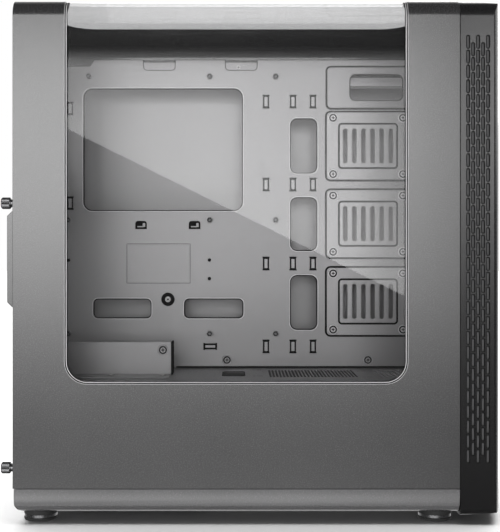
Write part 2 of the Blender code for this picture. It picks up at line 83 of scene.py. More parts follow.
class Nodes:
    """A material's node tree, with short calls to build it."""

    def __init__(self, name):
        self.material = bpy.data.materials.new(name)
        self.material.use_nodes = True
        self.tree = self.material.node_tree
        self.shader = self.tree.nodes["Principled BSDF"]
        self.output = self.tree.nodes["Material Output"]
        self.place = self.add("ShaderNodeTexCoord").outputs["Object"]

    def add(self, kind, **settings):
        node = self.tree.nodes.new(kind)
        for key, value in settings.items():
            if key in node.inputs:
                node.inputs[key].default_value = value
            else:
                setattr(node, key, value)
        return node

    def link(self, start, end):
        self.tree.links.new(start, end)

    def noise(self, scale, detail=2.0, rough=0.5, stretch=None):
        node = self.add("ShaderNodeTexNoise", Scale=scale, Detail=detail, Roughness=rough)
        start = self.place
        if stretch:
            mapping = self.add("ShaderNodeMapping", Scale=stretch)
            self.link(start, mapping.inputs["Vector"])
            start = mapping.outputs["Vector"]
        self.link(start, node.inputs["Vector"])
        return node.outputs["Fac"]

    def ramp(self, factor, low, high, start=0.35, end=0.65):
        """A value or colour that goes from low to high as factor goes from start to end."""
        node = self.add("ShaderNodeMapRange")
        for key, value in (("From Min", start), ("From Max", end), ("To Min", low), ("To Max", high)):
            node.inputs[key].default_value = value
        self.link(factor, node.inputs["Value"])
        return node.outputs["Result"]

    def mix(self, factor, low, high):
        node = self.add("ShaderNodeMix", data_type="RGBA")
        node.inputs[6].default_value = (*low, 1)
        node.inputs[7].default_value = (*high, 1)
        self.link(factor, node.inputs["Factor"])
        return node.outputs[2]

    def bump(self, height, strength, distance=0.0002, under=None):
        node = self.add("ShaderNodeBump", Strength=strength, Distance=distance)
        self.link(height, node.inputs["Height"])
        if under:
            self.link(under, node.inputs["Normal"])
        return node.outputs["Normal"]

    def set(self, **values):
        for key, value in values.items():
            self.shader.inputs[key.replace("_", " ")].default_value = value


def coated(name, colour, rough, grain, depth, vary, specular=0.5):
    """Textured coat: fine grain, a slow drift of tone and of gloss."""
    m = Nodes(name)
    fine = m.noise(grain, 3.0, 0.6)
    slow = m.noise(9.0, 2.0)
    dark = [c * (1 - vary) for c in colour]
    light = [min(1, c * (1 + vary)) for c in colour]
    both = m.add("ShaderNodeMath", operation="MULTIPLY_ADD")
    m.link(fine, both.inputs[0])
    both.inputs[1].default_value = 0.75
    eased = m.ramp(slow, 0.0, 0.25, 0.3, 0.7)
    m.link(eased, both.inputs[2])
    m.link(m.mix(m.ramp(both.outputs[0], 0, 1, 0.3, 0.75), dark, light), m.shader.inputs["Base Color"])
    m.link(m.ramp(fine, rough - 0.05, rough + 0.07), m.shader.inputs["Roughness"])
    m.link(m.bump(fine, depth, 0.00012), m.shader.inputs["Normal"])
    m.set(Specular_IOR_Level=specular)
    return m.material


def metal(name, colour, rough, stretch):
    """Metal with fine brushed lines."""
    m = Nodes(name)
    lines = m.noise(600, 3.0, 0.6, stretch)
    dark = [c * 0.82 for c in colour]
    m.link(m.mix(m.ramp(lines, 0, 1, 0.3, 0.7), dark, colour), m.shader.inputs["Base Color"])
    m.link(m.ramp(lines, rough - 0.06, rough + 0.1), m.shader.inputs["Roughness"])
    m.link(m.bump(lines, 0.12, 0.0001), m.shader.inputs["Normal"])
    m.set(Metallic=1.0)
    return m.material


def acrylic(name):
    """Clear sheet: it mirrors by its angle and lets the rest straight through."""
    m = Nodes(name)
    mirror = m.add("ShaderNodeBsdfGlossy", Roughness=0.015)
    through = m.add("ShaderNodeBsdfTransparent")
    through.inputs["Color"].default_value = (0.985, 0.985, 0.987, 1)
    facing = m.add("ShaderNodeLayerWeight", Blend=0.5).outputs["Facing"]
    steep = m.add("ShaderNodeMath", operation="POWER")
    m.link(facing, steep.inputs[0])
    steep.inputs[1].default_value = 5.0
    share = m.ramp(steep.outputs[0], 0.04, 1.0, 0.0, 1.0)
    haze = m.noise(6.0, 2.0)
    m.link(m.ramp(haze, 0.012, 0.022), mirror.inputs["Roughness"])
    blend = m.add("ShaderNodeMixShader")
    m.link(share, blend.inputs[0])
    m.link(through.outputs[0], blend.inputs[1])
    m.link(mirror.outputs[0], blend.inputs[2])
    m.link(blend.outputs[0], m.output.inputs["Surface"])
    m.tree.nodes.remove(m.shader)
    return m.material


def filter_mesh(name, thread, gap, pitch=0.0011):
    """Woven nylon: two sets of threads, seen as bands of light and dark."""
    m = Nodes(name)
    split = m.add("ShaderNodeSeparateXYZ")
    m.link(m.place, split.inputs[0])
    bands = []
    for socket in ("X", "Y", "Z"):
        wave = m.add("ShaderNodeMath", operation="PINGPONG")
        m.link(split.outputs[socket], wave.inputs[0])
        wave.inputs[1].default_value = pitch / 2
        bands.append(m.ramp(wave.outputs[0], 0, 1, 0, pitch / 2))
    top = m.add("ShaderNodeMath", operation="MAXIMUM")
    m.link(bands[0], top.inputs[0])
    m.link(bands[1], top.inputs[1])
    last = m.add("ShaderNodeMath", operation="MAXIMUM")
    m.link(top.outputs[0], last.inputs[0])
    m.link(bands[2], last.inputs[1])
    m.link(m.mix(m.ramp(last.outputs[0], 0, 1, 0.55, 0.8), gap, thread), m.shader.inputs["Base Color"])
    m.link(m.ramp(last.outputs[0], 0.8, 0.5, 0.4, 0.9), m.shader.inputs["Roughness"])
    m.link(m.bump(last.outputs[0], 0.6, 0.0003), m.shader.inputs["Normal"])
    return m.material


STEEL = coated("coated_steel", (0.020, 0.0196, 0.0203), 0.23, 1300, 0.42, vary=0.30, specular=1.0)
# the inside: the same black coated steel as the outside, given a lighter tone as painted light for the brightly
# lit inside
INNER = coated("inner_steel", (0.195, 0.191, 0.195), 0.34, 900, 0.015, vary=0.02, specular=1.0)
# the same coated steel, lighter again as painted light on the brackets, tie bridges and dimples
LIGHT = coated("bracket_steel_painted_light", (0.26, 0.256, 0.260), 0.34, 900, 0.015, vary=0.02, specular=1.0)
# light steel for screw heads and rings, and a painted highlight on the rolled edges of the tray's openings
EDGE = coated("bright_screws_and_edge_highlight", (0.50, 0.49, 0.50), 0.4, 900, 0.0, vary=0.03, specular=1.0)
BEZEL_PLASTIC = coated("bezel_plastic", (0.011, 0.0108, 0.0112), 0.24, 1800, 0.25, vary=0.2, specular=0.38)
BASE_PLASTIC = coated("base_plastic", (0.085, 0.084, 0.086), 0.22, 1800, 0.08, vary=0.12, specular=0.9)
DARK = coated("dark_plastic", (0.02, 0.02, 0.021), 0.5, 1600, 0.2, vary=0.15)
FAN_PLASTIC = coated("fan_plastic", (0.016, 0.016, 0.017), 0.32, 1500, 0.1, vary=0.15)
RUBBER = coated("rubber", (0.018, 0.018, 0.018), 0.75, 1200, 0.3, vary=0.2)
# near black: the grommet's rubber and the window seal, and painted shade in gaps, grooves, slot walls, recesses
# and behind holes
BLACK_RUBBER_AND_SHADE = coated("black_rubber_and_painted_shade", (0.006, 0.006, 0.006), 0.9, 1500, 0.0, vary=0.1, specular=0.0)
# the light tone of the painted highlights round the window opening
BEAD_AND_HIGHLIGHT = coated("window_bead_highlight", (0.42, 0.415, 0.42), 0.4, 900, 0.0, vary=0.03, specular=1.0)
NICKEL = metal("nickel", (0.62, 0.61, 0.60), 0.24, (1, 1, 6))
DARK_NICKEL = metal("dark_nickel", (0.20, 0.20, 0.205), 0.28, (4, 1, 1))
NET = filter_mesh("filter_net", (0.10, 0.10, 0.105), (0.012, 0.012, 0.013))
VENT_NET = filter_mesh("vent_net", (0.10, 0.10, 0.102), (0.045, 0.045, 0.046), 0.0007)
CLEAR = acrylic("acrylic")
BOARD = coated("circuit_board", (0.015, 0.10, 0.04), 0.35, 500, 0.1, vary=0.2)
JACK_INSERT = coated("jack_insert", (0.02, 0.02, 0.022), 0.4, 900, 0.1, vary=0.1)
USB_BLUE = coated("socket_tongue", (0.01, 0.03, 0.16), 0.4, 900, 0.1, vary=0.1)

# ---------------------------------------------------------------- outlines


def arc(u, v, radius, start, end, steps):
    """Points round (u, v) from start to end, in degrees."""
    angles = [math.radians(start + (end - start) * i / steps) for i in range(steps + 1)]
    return [(u + radius * math.cos(a), v + radius * math.sin(a)) for a in angles]


def circle(u, v, radius, sides=32):
    return arc(u, v, radius, 0, 360, sides)[:-1]


def rect(u, v, radius=0.0, steps=6):
    """A rectangle between u[0], u[1] and v[0], v[1], with rounded corners if asked."""
    if not radius:
        return [(u[0], v[0]), (u[1], v[0]), (u[1], v[1]), (u[0], v[1])]
    low_u, high_u = u[0] + radius, u[1] - radius
    low_v, high_v = v[0] + radius, v[1] - radius
    return (
        arc(low_u, low_v, radius, 180, 270, steps)
        + arc(high_u, low_v, radius, 270, 360, steps)
        + arc(high_u, high_v, radius, 0, 90, steps)
        + arc(low_u, high_v, radius, 90, 180, steps)
    )


def about(u, v, width, height, radius=0.0, steps=6):
    return rect((u - width / 2, u + width / 2), (v - height / 2, v + height / 2), radius, steps)


def area(loop):
    return sum(a[0] * b[1] - b[0] * a[1] for a, b in zip(loop, loop[1:] + loop[:1])) / 2


def inset(loop, by):
    """The loop moved towards its own inside by a distance."""
    turn = 1 if area(loop) > 0 else -1
    moved = []
    for i, point in enumerate(loop):
        here = Vector(point)
        before = here - Vector(loop[i - 1])
        after = Vector(loop[(i + 1) % len(loop)]) - here
        if before.length < 1e-7 or after.length < 1e-7:
            side = (before if before.length > after.length else after).normalized()
            normal = Vector((-side.y, side.x))
        else:
            before.normalize()
            after.normalize()
            normal = Vector((-before.y - after.y, before.x + after.x))
            normal = normal / max(0.3, normal.length_squared / 2)
        moved.append(tuple(here + normal * by * turn))
    return moved


def border(loop, outer, inner):
    """The two outlines of a strip along the loop: the loop moved in by each distance."""
    return [inset(loop, outer), inset(loop, inner)]


# ---------------------------------------------------------------- solids

# Each matrix lays a flat outline (u, v) and its depth onto the world's axes.
LAY = {
    "X": Matrix(((0, 0, 1, 0), (1, 0, 0, 0), (0, 1, 0, 0), (0, 0, 0, 1))),
    "Y": Matrix(((1, 0, 0, 0), (0, 0, 1, 0), (0, 1, 0, 0), (0, 0, 0, 1))),
    "Z": Matrix.Identity(4),
}


def smooth(mesh, sharp):
    """Smooth shading, apart from edges sharper than an angle in degrees."""
    mesh.shade_smooth()
    mesh.set_sharp_from_angle(angle=math.radians(sharp))


def weigh_normals(obj):
    """Keeps large faces flat up to their rounded edges."""
    obj.modifiers.new("flat_faces", "WEIGHTED_NORMAL").keep_sharp = True


def soften(obj, width, segments):
    """Rounds the edges sharper than 40 degrees."""
    soft = obj.modifiers.new("soft_edges", "BEVEL")
    soft.width, soft.segments, soft.limit_method = width, segments, "ANGLE"
    soft.angle_limit = math.radians(40)


def applied(obj):
    """The mesh with the object's modifiers applied."""
    graph = bpy.context.evaluated_depsgraph_get()
    return bpy.data.meshes.new_from_object(obj.evaluated_get(graph))


def piece(name, bm, look, body, sharp=32, weigh=True):
    """Makes the mesh an object of the scene that rides on a body."""
    bmesh.ops.remove_doubles(bm, verts=bm.verts, dist=1e-7)
    bmesh.ops.recalc_face_normals(bm, faces=bm.faces)
    mesh = bpy.data.meshes.new(name)
    bm.to_mesh(mesh)
    bm.free()
    mesh.materials.append(look)
    smooth(mesh, sharp)
    obj = bpy.data.objects.new(name, mesh)
    bpy.context.scene.collection.objects.link(obj)
    if weigh:
        weigh_normals(obj)
    if body:
        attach(obj, body)
    return obj


def within(point, loop):
    """Whether the point is inside the outline."""
    inside = False
    for a, b in zip(loop, loop[1:] + loop[:1]):
        if (a[1] > point[1]) != (b[1] > point[1]):
            if point[0] < a[0] + (b[0] - a[0]) * (point[1] - a[1]) / (b[1] - a[1]):
                inside = not inside
    return inside


def flat_slab(loops, depth, edge):
    """A plate from 0 to depth, whose edges on both faces are rounded to radius edge."""
    bm = bmesh.new()
    edge = min(edge, depth * 0.45)
    if edge:
        quarter = [math.radians(a) for a in (0, 30, 60, 90)]
        # rings run from the face inwards: (how far in from the outline, how deep)
        rings = [(edge * (1 - math.sin(a)), edge * (1 - math.cos(a))) for a in quarter]
    else:
        rings = [(0, 0)]
    levels = rings + [(shift, depth - down) for shift, down in reversed(rings)]
    ends = []
    for number, loop in enumerate(loops):
        outward = 1 if number == 0 else -1
        rows = []
        for shift, height in levels:
            moved = inset(loop, shift * outward) if shift else loop
            rows.append([bm.verts.new((u, v, height)) for u, v in moved])
        for low, high in zip(rows, rows[1:]):
            for i in range(len(low)):
                j = (i + 1) % len(low)
                bm.faces.new((low[i], low[j], high[j], high[i]))
        ends.append((rows[0], rows[-1]))
    for end in (0, 1):
        flat, edges, owner = [], [], []
        for number, pair in enumerate(ends):
            row, first = pair[end], len(flat)
            edges += [(first + i, first + (i + 1) % len(row)) for i in range(len(row))]
            owner += [number] * len(row)
            flat += row
        points = [vertex.co.xy for vertex in flat]
        _, _, faces, source, _, _ = delaunay_2d_cdt(points, edges, [], 1, 1e-9)
        for face in faces:
            index = [source[i][0] for i in face if source[i]]
            corners = [flat[i] for i in index]
            hole = {owner[i] for i in index}
            if len(set(corners)) < 3 or bm.faces.get(corners):
                continue
            if len(hole) == 1 and 0 not in hole:
                middle = sum((points[i] for i in index), Vector((0, 0))) / 3
                if within(middle, [vertex.co for vertex in ends[hole.pop()][end]]):
                    continue
            bm.faces.new(corners)
    return bm


def slab_bm(axis, span, loops, edge=0.0003):
    low, high = sorted(span)
    bm = flat_slab(loops, high - low, edge)
    bmesh.ops.translate(bm, vec=(0, 0, low), verts=bm.verts)
    bmesh.ops.transform(bm, matrix=LAY[axis], verts=bm.verts)
    return bm


def slab(name, axis, span, loops, look, body=CHASSIS, edge=0.0003):
    return piece(name, slab_bm(axis, span, loops, edge), look, body)


def plain_slab(name, axis, span, loop, look=DARK, body=None):
    """A slab with sharp edges and no modifier, to cut or be cut."""
    obj = slab(name, axis, span, [loop], look, body, 0)
    obj.modifiers.clear()
    return obj


def turned_bm(profile, place, axis, sides=48):
    """A round solid: (radius, distance) points along axis from place."""
    bm = bmesh.new()
    rows = []
    for radius, along in profile:
        if radius < 1e-7:
            rows.append([bm.verts.new((0, 0, along))])
        else:
            rows.append([bm.verts.new((u, v, along)) for u, v in circle(0, 0, radius, sides)])
    for low, high in zip(rows, rows[1:]):
        for i in range(sides):
            j = (i + 1) % sides
            corners = [low[i % len(low)], low[j % len(low)], high[j % len(high)], high[i % len(high)]]
            kept = list(dict.fromkeys(corners))
            if len(kept) > 2:
                bm.faces.new(kept)
    turn = Vector((0, 0, 1)).rotation_difference(Vector(axis)).to_matrix().to_4x4()
    bmesh.ops.transform(bm, matrix=Matrix.Translation(place) @ turn, verts=bm.verts)
    return bm


def turned(name, profile, place, axis, look, body=CHASSIS, sides=48):
    return piece(name, turned_bm(profile, place, axis, sides), look, body)


def merge(*parts):
    """Several solids as one mesh."""
    whole = bmesh.new()
    for part in parts:
        mesh = bpy.data.meshes.new("part")
        part.to_mesh(mesh)
        part.free()
        whole.from_mesh(mesh)
        bpy.data.meshes.remove(mesh)
    return whole


def over_shoulder(name, loops, outer, thickness, look, body, side=-1, edge=0.0003):
    """A plate bent over the shoulder. Its outline is flat: (x, length up from the panel's low edge)."""
    bm = flat_slab(loops, thickness, edge)
    cuts = [SIDE_LENGTH + BEND_LENGTH * i / 16 for i in range(17)]
    for at in cuts:
        every = list(bm.verts) + list(bm.edges) + list(bm.faces)
        bmesh.ops.bisect_plane(bm, geom=every, dist=1e-7, plane_co=(0, at, 0), plane_no=(0, 1, 0))
    for vertex in bm.verts:
        x, along, depth = vertex.co
        depth += outer
        if along <= SIDE_LENGTH:
            y, z = HALF - depth, LOW + along
        elif along >= SIDE_LENGTH + BEND_LENGTH:
            y, z = HALF - R - (along - SIDE_LENGTH - BEND_LENGTH), TOP - depth
        else:
            turn = (along - SIDE_LENGTH) / R
            y = HALF - R + (R - depth) * math.cos(turn)
            z = TOP - R + (R - depth) * math.sin(turn)
        vertex.co = (x, side * y, z)
    return piece(name, bm, look, body)


def plus(u, v, reach, half):
    """A cross, as for a screwdriver."""
    points = [(half, half), (half, reach), (-half, reach), (-half, half), (-reach, half), (-reach, -half)]
    points += [(-half, -half), (-half, -reach), (half, -reach), (half, -half), (reach, -half), (reach, half)]
    return [(u + a, v + b) for a, b in points]


def heads(name, axis, base, height, spots, radius, look, body=CHASSIS):
    """Pan-head screws with cross recesses, at (u, v) spots, standing height off base; a black floor in each
    recess is a painted shade.
    """
    rims, recess_shades = [], []
    for u, v in spots:
        loops = [circle(u, v, radius, 28), plus(u, v, radius * 0.62, radius * 0.16)]
        rims.append(slab_bm(axis, (base, base + height), loops, abs(height) * 0.4))
        recess_shades.append(slab_bm(axis, (base, base + height * 0.35), [circle(u, v, radius * 0.85, 24)], 0))
    piece(f"{name}_recesses", merge(*recess_shades), BLACK_RUBBER_AND_SHADE, body)
    return piece(name, merge(*rims), look, body)


# ---------------------------------------------------------------- outer panels

NARROW_X = (-0.181, 0.1405)  # window opening in the side
WIDE_X = (-0.200, 0.162)  # and on the roof, at its far side
ROOF_START = SIDE_LENGTH + BEND_LENGTH  # where the roof begins, in unfolded length
ROOF_FAR = ROOF_START + 0.020 + HALF - R


def window_outline(steps=10):
    rear, front = NARROW_X
    radius = 0.021
    low = 0.1326 - LOW + radius
    outline = arc(rear + radius, low, radius, 180, 270, steps)
    outline += arc(front - radius, low, radius, 270, 360, steps)
    corner = 0.033
    outline += [(front, ROOF_START)]
    outline += arc(WIDE_X[1] - corner, ROOF_FAR - corner, corner, 0, 90, steps)
    outline += arc(WIDE_X[0] + corner, ROOF_FAR - corner, corner, 90, 180, steps)
    return outline + [(rear, ROOF_START)]


def side_panels():
    opening = window_outline()
    length = ROOF_START + RIDGE + HALF - R
    outline = rect((REAR, SEAM), (0, length))
    left = over_shoulder(
        "left_panel_skin", [outline, opening], 0, SHEET, STEEL, "left_panel", -1, 0.00045
    )
    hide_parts("left_side_panel")

    # rings round the opening, outside in: a painted highlight on the steel's rounded edge, a black seal that
    # also paints the shade in the gap, a light bead that also paints the highlight on the pane's edge, and a
    # second black seal line
    rings = (
        ("window_rim_highlight", -0.0006, 0.0000, BEAD_AND_HIGHLIGHT, -0.00001),
        ("window_seal_shade", 0.0000, 0.0010, BLACK_RUBBER_AND_SHADE, 0.0011),
        ("window_bead_highlight", 0.0010, 0.0018, BEAD_AND_HIGHLIGHT, 0.0009),
        ("window_seal_shade_inner", 0.0018, 0.0026, BLACK_RUBBER_AND_SHADE, 0.0010),
    )
    for name, start, end, look, down in rings:
        loops = border(opening, start, end)
        over_shoulder(name, loops, max(down, 0.00002), 0.0004, look, "left_panel", -1, 0.0001)

    low = WINDOW[0].z - LOW
    far = ROOF_START + WINDOW[1].y + HALF - R
    outline = rect((WINDOW[0].x, WINDOW[1].x), (low, far), 0.010)
    pane = over_shoulder("window_pane", [outline], 0.0015, 0.0028, CLEAR, "left_panel", -1, 0.0002)
    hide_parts("side_window")

    far = ROOF_START + (HALF - R) - RIDGE - 0.0003
    outline = rect((REAR, SEAM), (0, far))
    right = over_shoulder(
        "right_panel_skin", [outline], 0, SHEET, STEEL, "right_panel", 1, 0.00045
    )
    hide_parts("right_side_panel")

    # the panel's inside face, in the lighter inner tone that stands for the light falling inside
    liner = [rect((REAR + 0.010, SEAM - 0.006), (0.004, SIDE_LENGTH - 0.020))]
    over_shoulder("right_panel_inside", liner, SHEET, 0.0002, INNER, "right_panel", 1, 0)

    for side, body in ((-1, "left_panel"), (1, "right_panel")):
        y = sorted((side * (HALF - 0.0006), side * (HALF - 0.0135)))
        holes = [circle(side * SCREW_Y, z, 0.0026) for z in SCREW_Z]
        loops = [rect(y, (LOW + 0.002, TOP - R - 0.002), 0.001), *holes]
        slab(
            f"{body}_rear_fold", "X", (REAR + 0.00002, REAR + 0.0009), loops, STEEL, body, 0.0002,
        )
        y = sorted((side * (HALF - 0.0009), side * (HALF - 0.0080)))
        hem = rect(y, (LOW + 0.004, TOP - R))
        slab(f"{body}_front_hem", "X", (SEAM - 0.0055, SEAM - 0.0045), [hem], STEEL, body)


side_panels()

# ---------------------------------------------------------------- bezel

VENT_X = (0.1935, 0.2190)
VENT_Z = (0.052, 0.4665)
SLOT_PITCH, SLOT_COLUMN = 0.01387, 0.00465
SLOT_LENGTH, SLOT_WIDTH = 0.0127, 0.0034


def bezel_bulk(name, inner, back):
    """The bezel's bulk, moved in by inner from its outer face: three outlines in common."""
    side, top, low = HALF - inner, BEZEL[1].z - inner, BEZEL[0].z + inner
    section = (
        arc(side - 0.006, low + 0.006, 0.006, 270, 360, 8)
        + arc(side - R + inner, top - R + inner, R - inner, 0, 90, 14)
        + arc(-side + R - inner, top - R + inner, R - inner, 90, 180, 14)
        + arc(-side + 0.006, low + 0.006, 0.006, 180, 270, 8)
    )
    bulk = plain_slab(name, "X", (back, 0.260), section, BEZEL_PLASTIC)
    nose, curve, edge = BEZEL[1].x - inner, 0.340, side - 0.007
    front = [(nose - y * y / (2 * curve), y) for y in (edge * (1 - i / 20) for i in range(41))]
    corner = front[0][0] - 0.0052
    plan = [(back - 0.001, side + 0.001), (corner - 0.001, side + 0.001), (corner, side)]
    plan += [(corner + 0.0030, side - 0.0020), *front, (corner + 0.0030, -side + 0.0020)]
    plan += [(corner, -side), (corner - 0.001, -side - 0.001), (back - 0.001, -side - 0.001)]
    slope = [
        (back - 0.002, low - 0.0002),
        (0.236, low + 0.0034),
        (0.246, low + 0.0060),
        (0.246, top - 0.0070),
        (0.236, top - 0.0040),
        (back - 0.002, top + 0.0002),
    ]
    boolean(bulk, plain_slab(name + "_plan", "Z", (0, 0.5), plan), "INTERSECT")
    boolean(bulk, plain_slab(name + "_slope", "Y", (-0.2, 0.2), slope), "INTERSECT")
    return bulk


def boolean(target, cutter, operation):
    """Applies the cut at once and drops the cutter."""
    modifier = target.modifiers.new(operation, "BOOLEAN")
    modifier.operation, modifier.object, modifier.solver = operation, cutter, "EXACT"
    mesh = applied(target)
    target.modifiers.remove(modifier)
    target.data = mesh
    bpy.data.objects.remove(cutter)


def plain_box(name, x, y, z):
    return plain_slab(name, "Z", z, rect(x, y))


def bezel():
    back = SEAM + 0.0003
    shell = bezel_bulk("bezel_shell", 0.0, back)
    boolean(shell, bezel_bulk("hollow", 0.0025, SEAM - 0.002), "DIFFERENCE")
    boolean(shell, plain_box("ports", (0.197, 0.229), (-0.050, 0.050), (0.480, 0.50)), "DIFFERENCE")
    soften(shell, 0.0006, 3)
    shell.data = applied(shell)
    shell.modifiers.clear()
    for y in ((-0.12, -0.10), (0.10, 0.12)):
        boolean(shell, plain_box("vent", VENT_X, y, VENT_Z), "DIFFERENCE")
    smooth(shell.data, 30)
    weigh_normals(shell)
    shell.data.materials.clear()
    shell.data.materials.append(BEZEL_PLASTIC)
    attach(shell, "bezel")
    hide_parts("front_bezel")

    for side, name in ((-1, "left"), (1, "right")):
        slots = []
        for column in range(5):
            count = 29 - column % 2
            x = 0.1969 + SLOT_COLUMN * column
            top = 0.4598 - (column % 2) * SLOT_PITCH / 2
            half = SLOT_WIDTH / 2
            for row in range(count):
                z = top - 0.00675 - SLOT_PITCH * row
                slots.append(about(x, z, SLOT_WIDTH, SLOT_LENGTH, half * 0.98, 4))
        y = sorted((side * HALF, side * (HALF - 0.0022)))
        outline = inset(rect(VENT_X, VENT_Z), -0.00028)
        strip = slab(
            f"vent_slots_{name}", "Y", y, [outline, *slots], BEZEL_PLASTIC, "bezel", 0.00028
        )
        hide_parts(f"vent_strip_{name}")
        # a painted shade: a black ring inside each slot's wall
        y = sorted((side * (HALF - 0.0006), side * (HALF - 0.0012)))
        steps = [inset(slot, 0.00055) for slot in slots]
        slab(f"vent_steps_{name}", "Y", y, [rect(VENT_X, VENT_Z), *steps], BLACK_RUBBER_AND_SHADE, "bezel", 0)
        y = sorted((side * (HALF - 0.0024), side * (HALF - 0.0030)))
        slab(f"vent_net_{name}", "Y", y, [rect((0.1942, 0.2183), (0.053, 0.4655))], VENT_NET, "bezel", 0)


bezel()

# ---------------------------------------------------------------- motherboard tray

INNER_FACE = TRAY_Y + SHEET
HOLE_X = -0.205
HOLE_COLUMNS = (0.0, 0.15494, 0.22733)
HOLE_TOP = 0.4508
HOLE_ROWS = (0.0, 0.15748, 0.28194)
BRACKET_X = 0.1237
BRACKET_Z = (0.3746, 0.2893, 0.2040)
UPRIGHT_TIES = [(x, z) for z in (0.4235, 0.3324, 0.2456, 0.1545) for x in (0.0119, 0.0415, 0.0635)]
UPRIGHT_TIES += [(-0.2034, 0.4160), (-0.2034, 0.3120)]
FLAT_TIE = (-0.0494, 0.1545)
TIE_LENGTH, TIE_WIDTH = 0.0150, 0.0077
CLIPS = (-0.1254, -0.0666)
CLIP_Z = 0.2879
GROMMET = (-0.0958, 0.2063)
NOTCHES = ((-0.0332, 0.0025), (-0.1232, -0.0875))  # in the tray's top edge
SPARE_NUTS = ((HOLE_X, 0.2492), (-0.0503, 0.2495), (-0.0503, 0.2290))


def tie_hole(x, z, along_x=False):
    """A slot with small ears at its two ends, for a cable tie."""
    half, end = TIE_WIDTH / 2 - 0.0006, TIE_LENGTH / 2
    ear, deep = 0.0006, 0.0017
    right = [(half, -end + deep), (half, end - deep), (half + ear, end - deep), (half + ear, end)]
    outline = [(half + ear, -end), (half + ear, -end + deep), *right]
    outline += [(-u, v) for u, v in reversed(outline)]
    if along_x:
        outline = [(v, u) for u, v in outline]
    return [(x + u, z + v) for u, v in outline]


def d_hole(x, z):
    """A hole with a straight foot and two round corners at its top."""
    half, up, radius = 0.0063, 0.0044, 0.0028
    top = arc(x + half - radius, z + up - radius, radius, 0, 90, 5)
    top += arc(x - half + radius, z + up - radius, radius, 90, 180, 5)
    return [(x - half, z - up), (x + half, z - up), *top]


def tray_outline():
    rear, front = TRAY[0].x, TRAY[1].x
    low, top, notch = TRAY[0].z, TRAY[1].z, 0.0114
    edge = [(rear, low), (front, low), (front, top)]
    for left, right in NOTCHES:
        edge += [(right, top)]
        edge += arc(right - 0.0045, top - notch + 0.0045, 0.0045, 0, -90, 5)
        edge += arc(left + 0.0045, top - notch + 0.0045, 0.0045, -90, -180, 5)
        edge += [(left, top)]
    return edge + [(-0.1765, top), (-0.1815, top - 0.007), (rear, top - 0.007)]


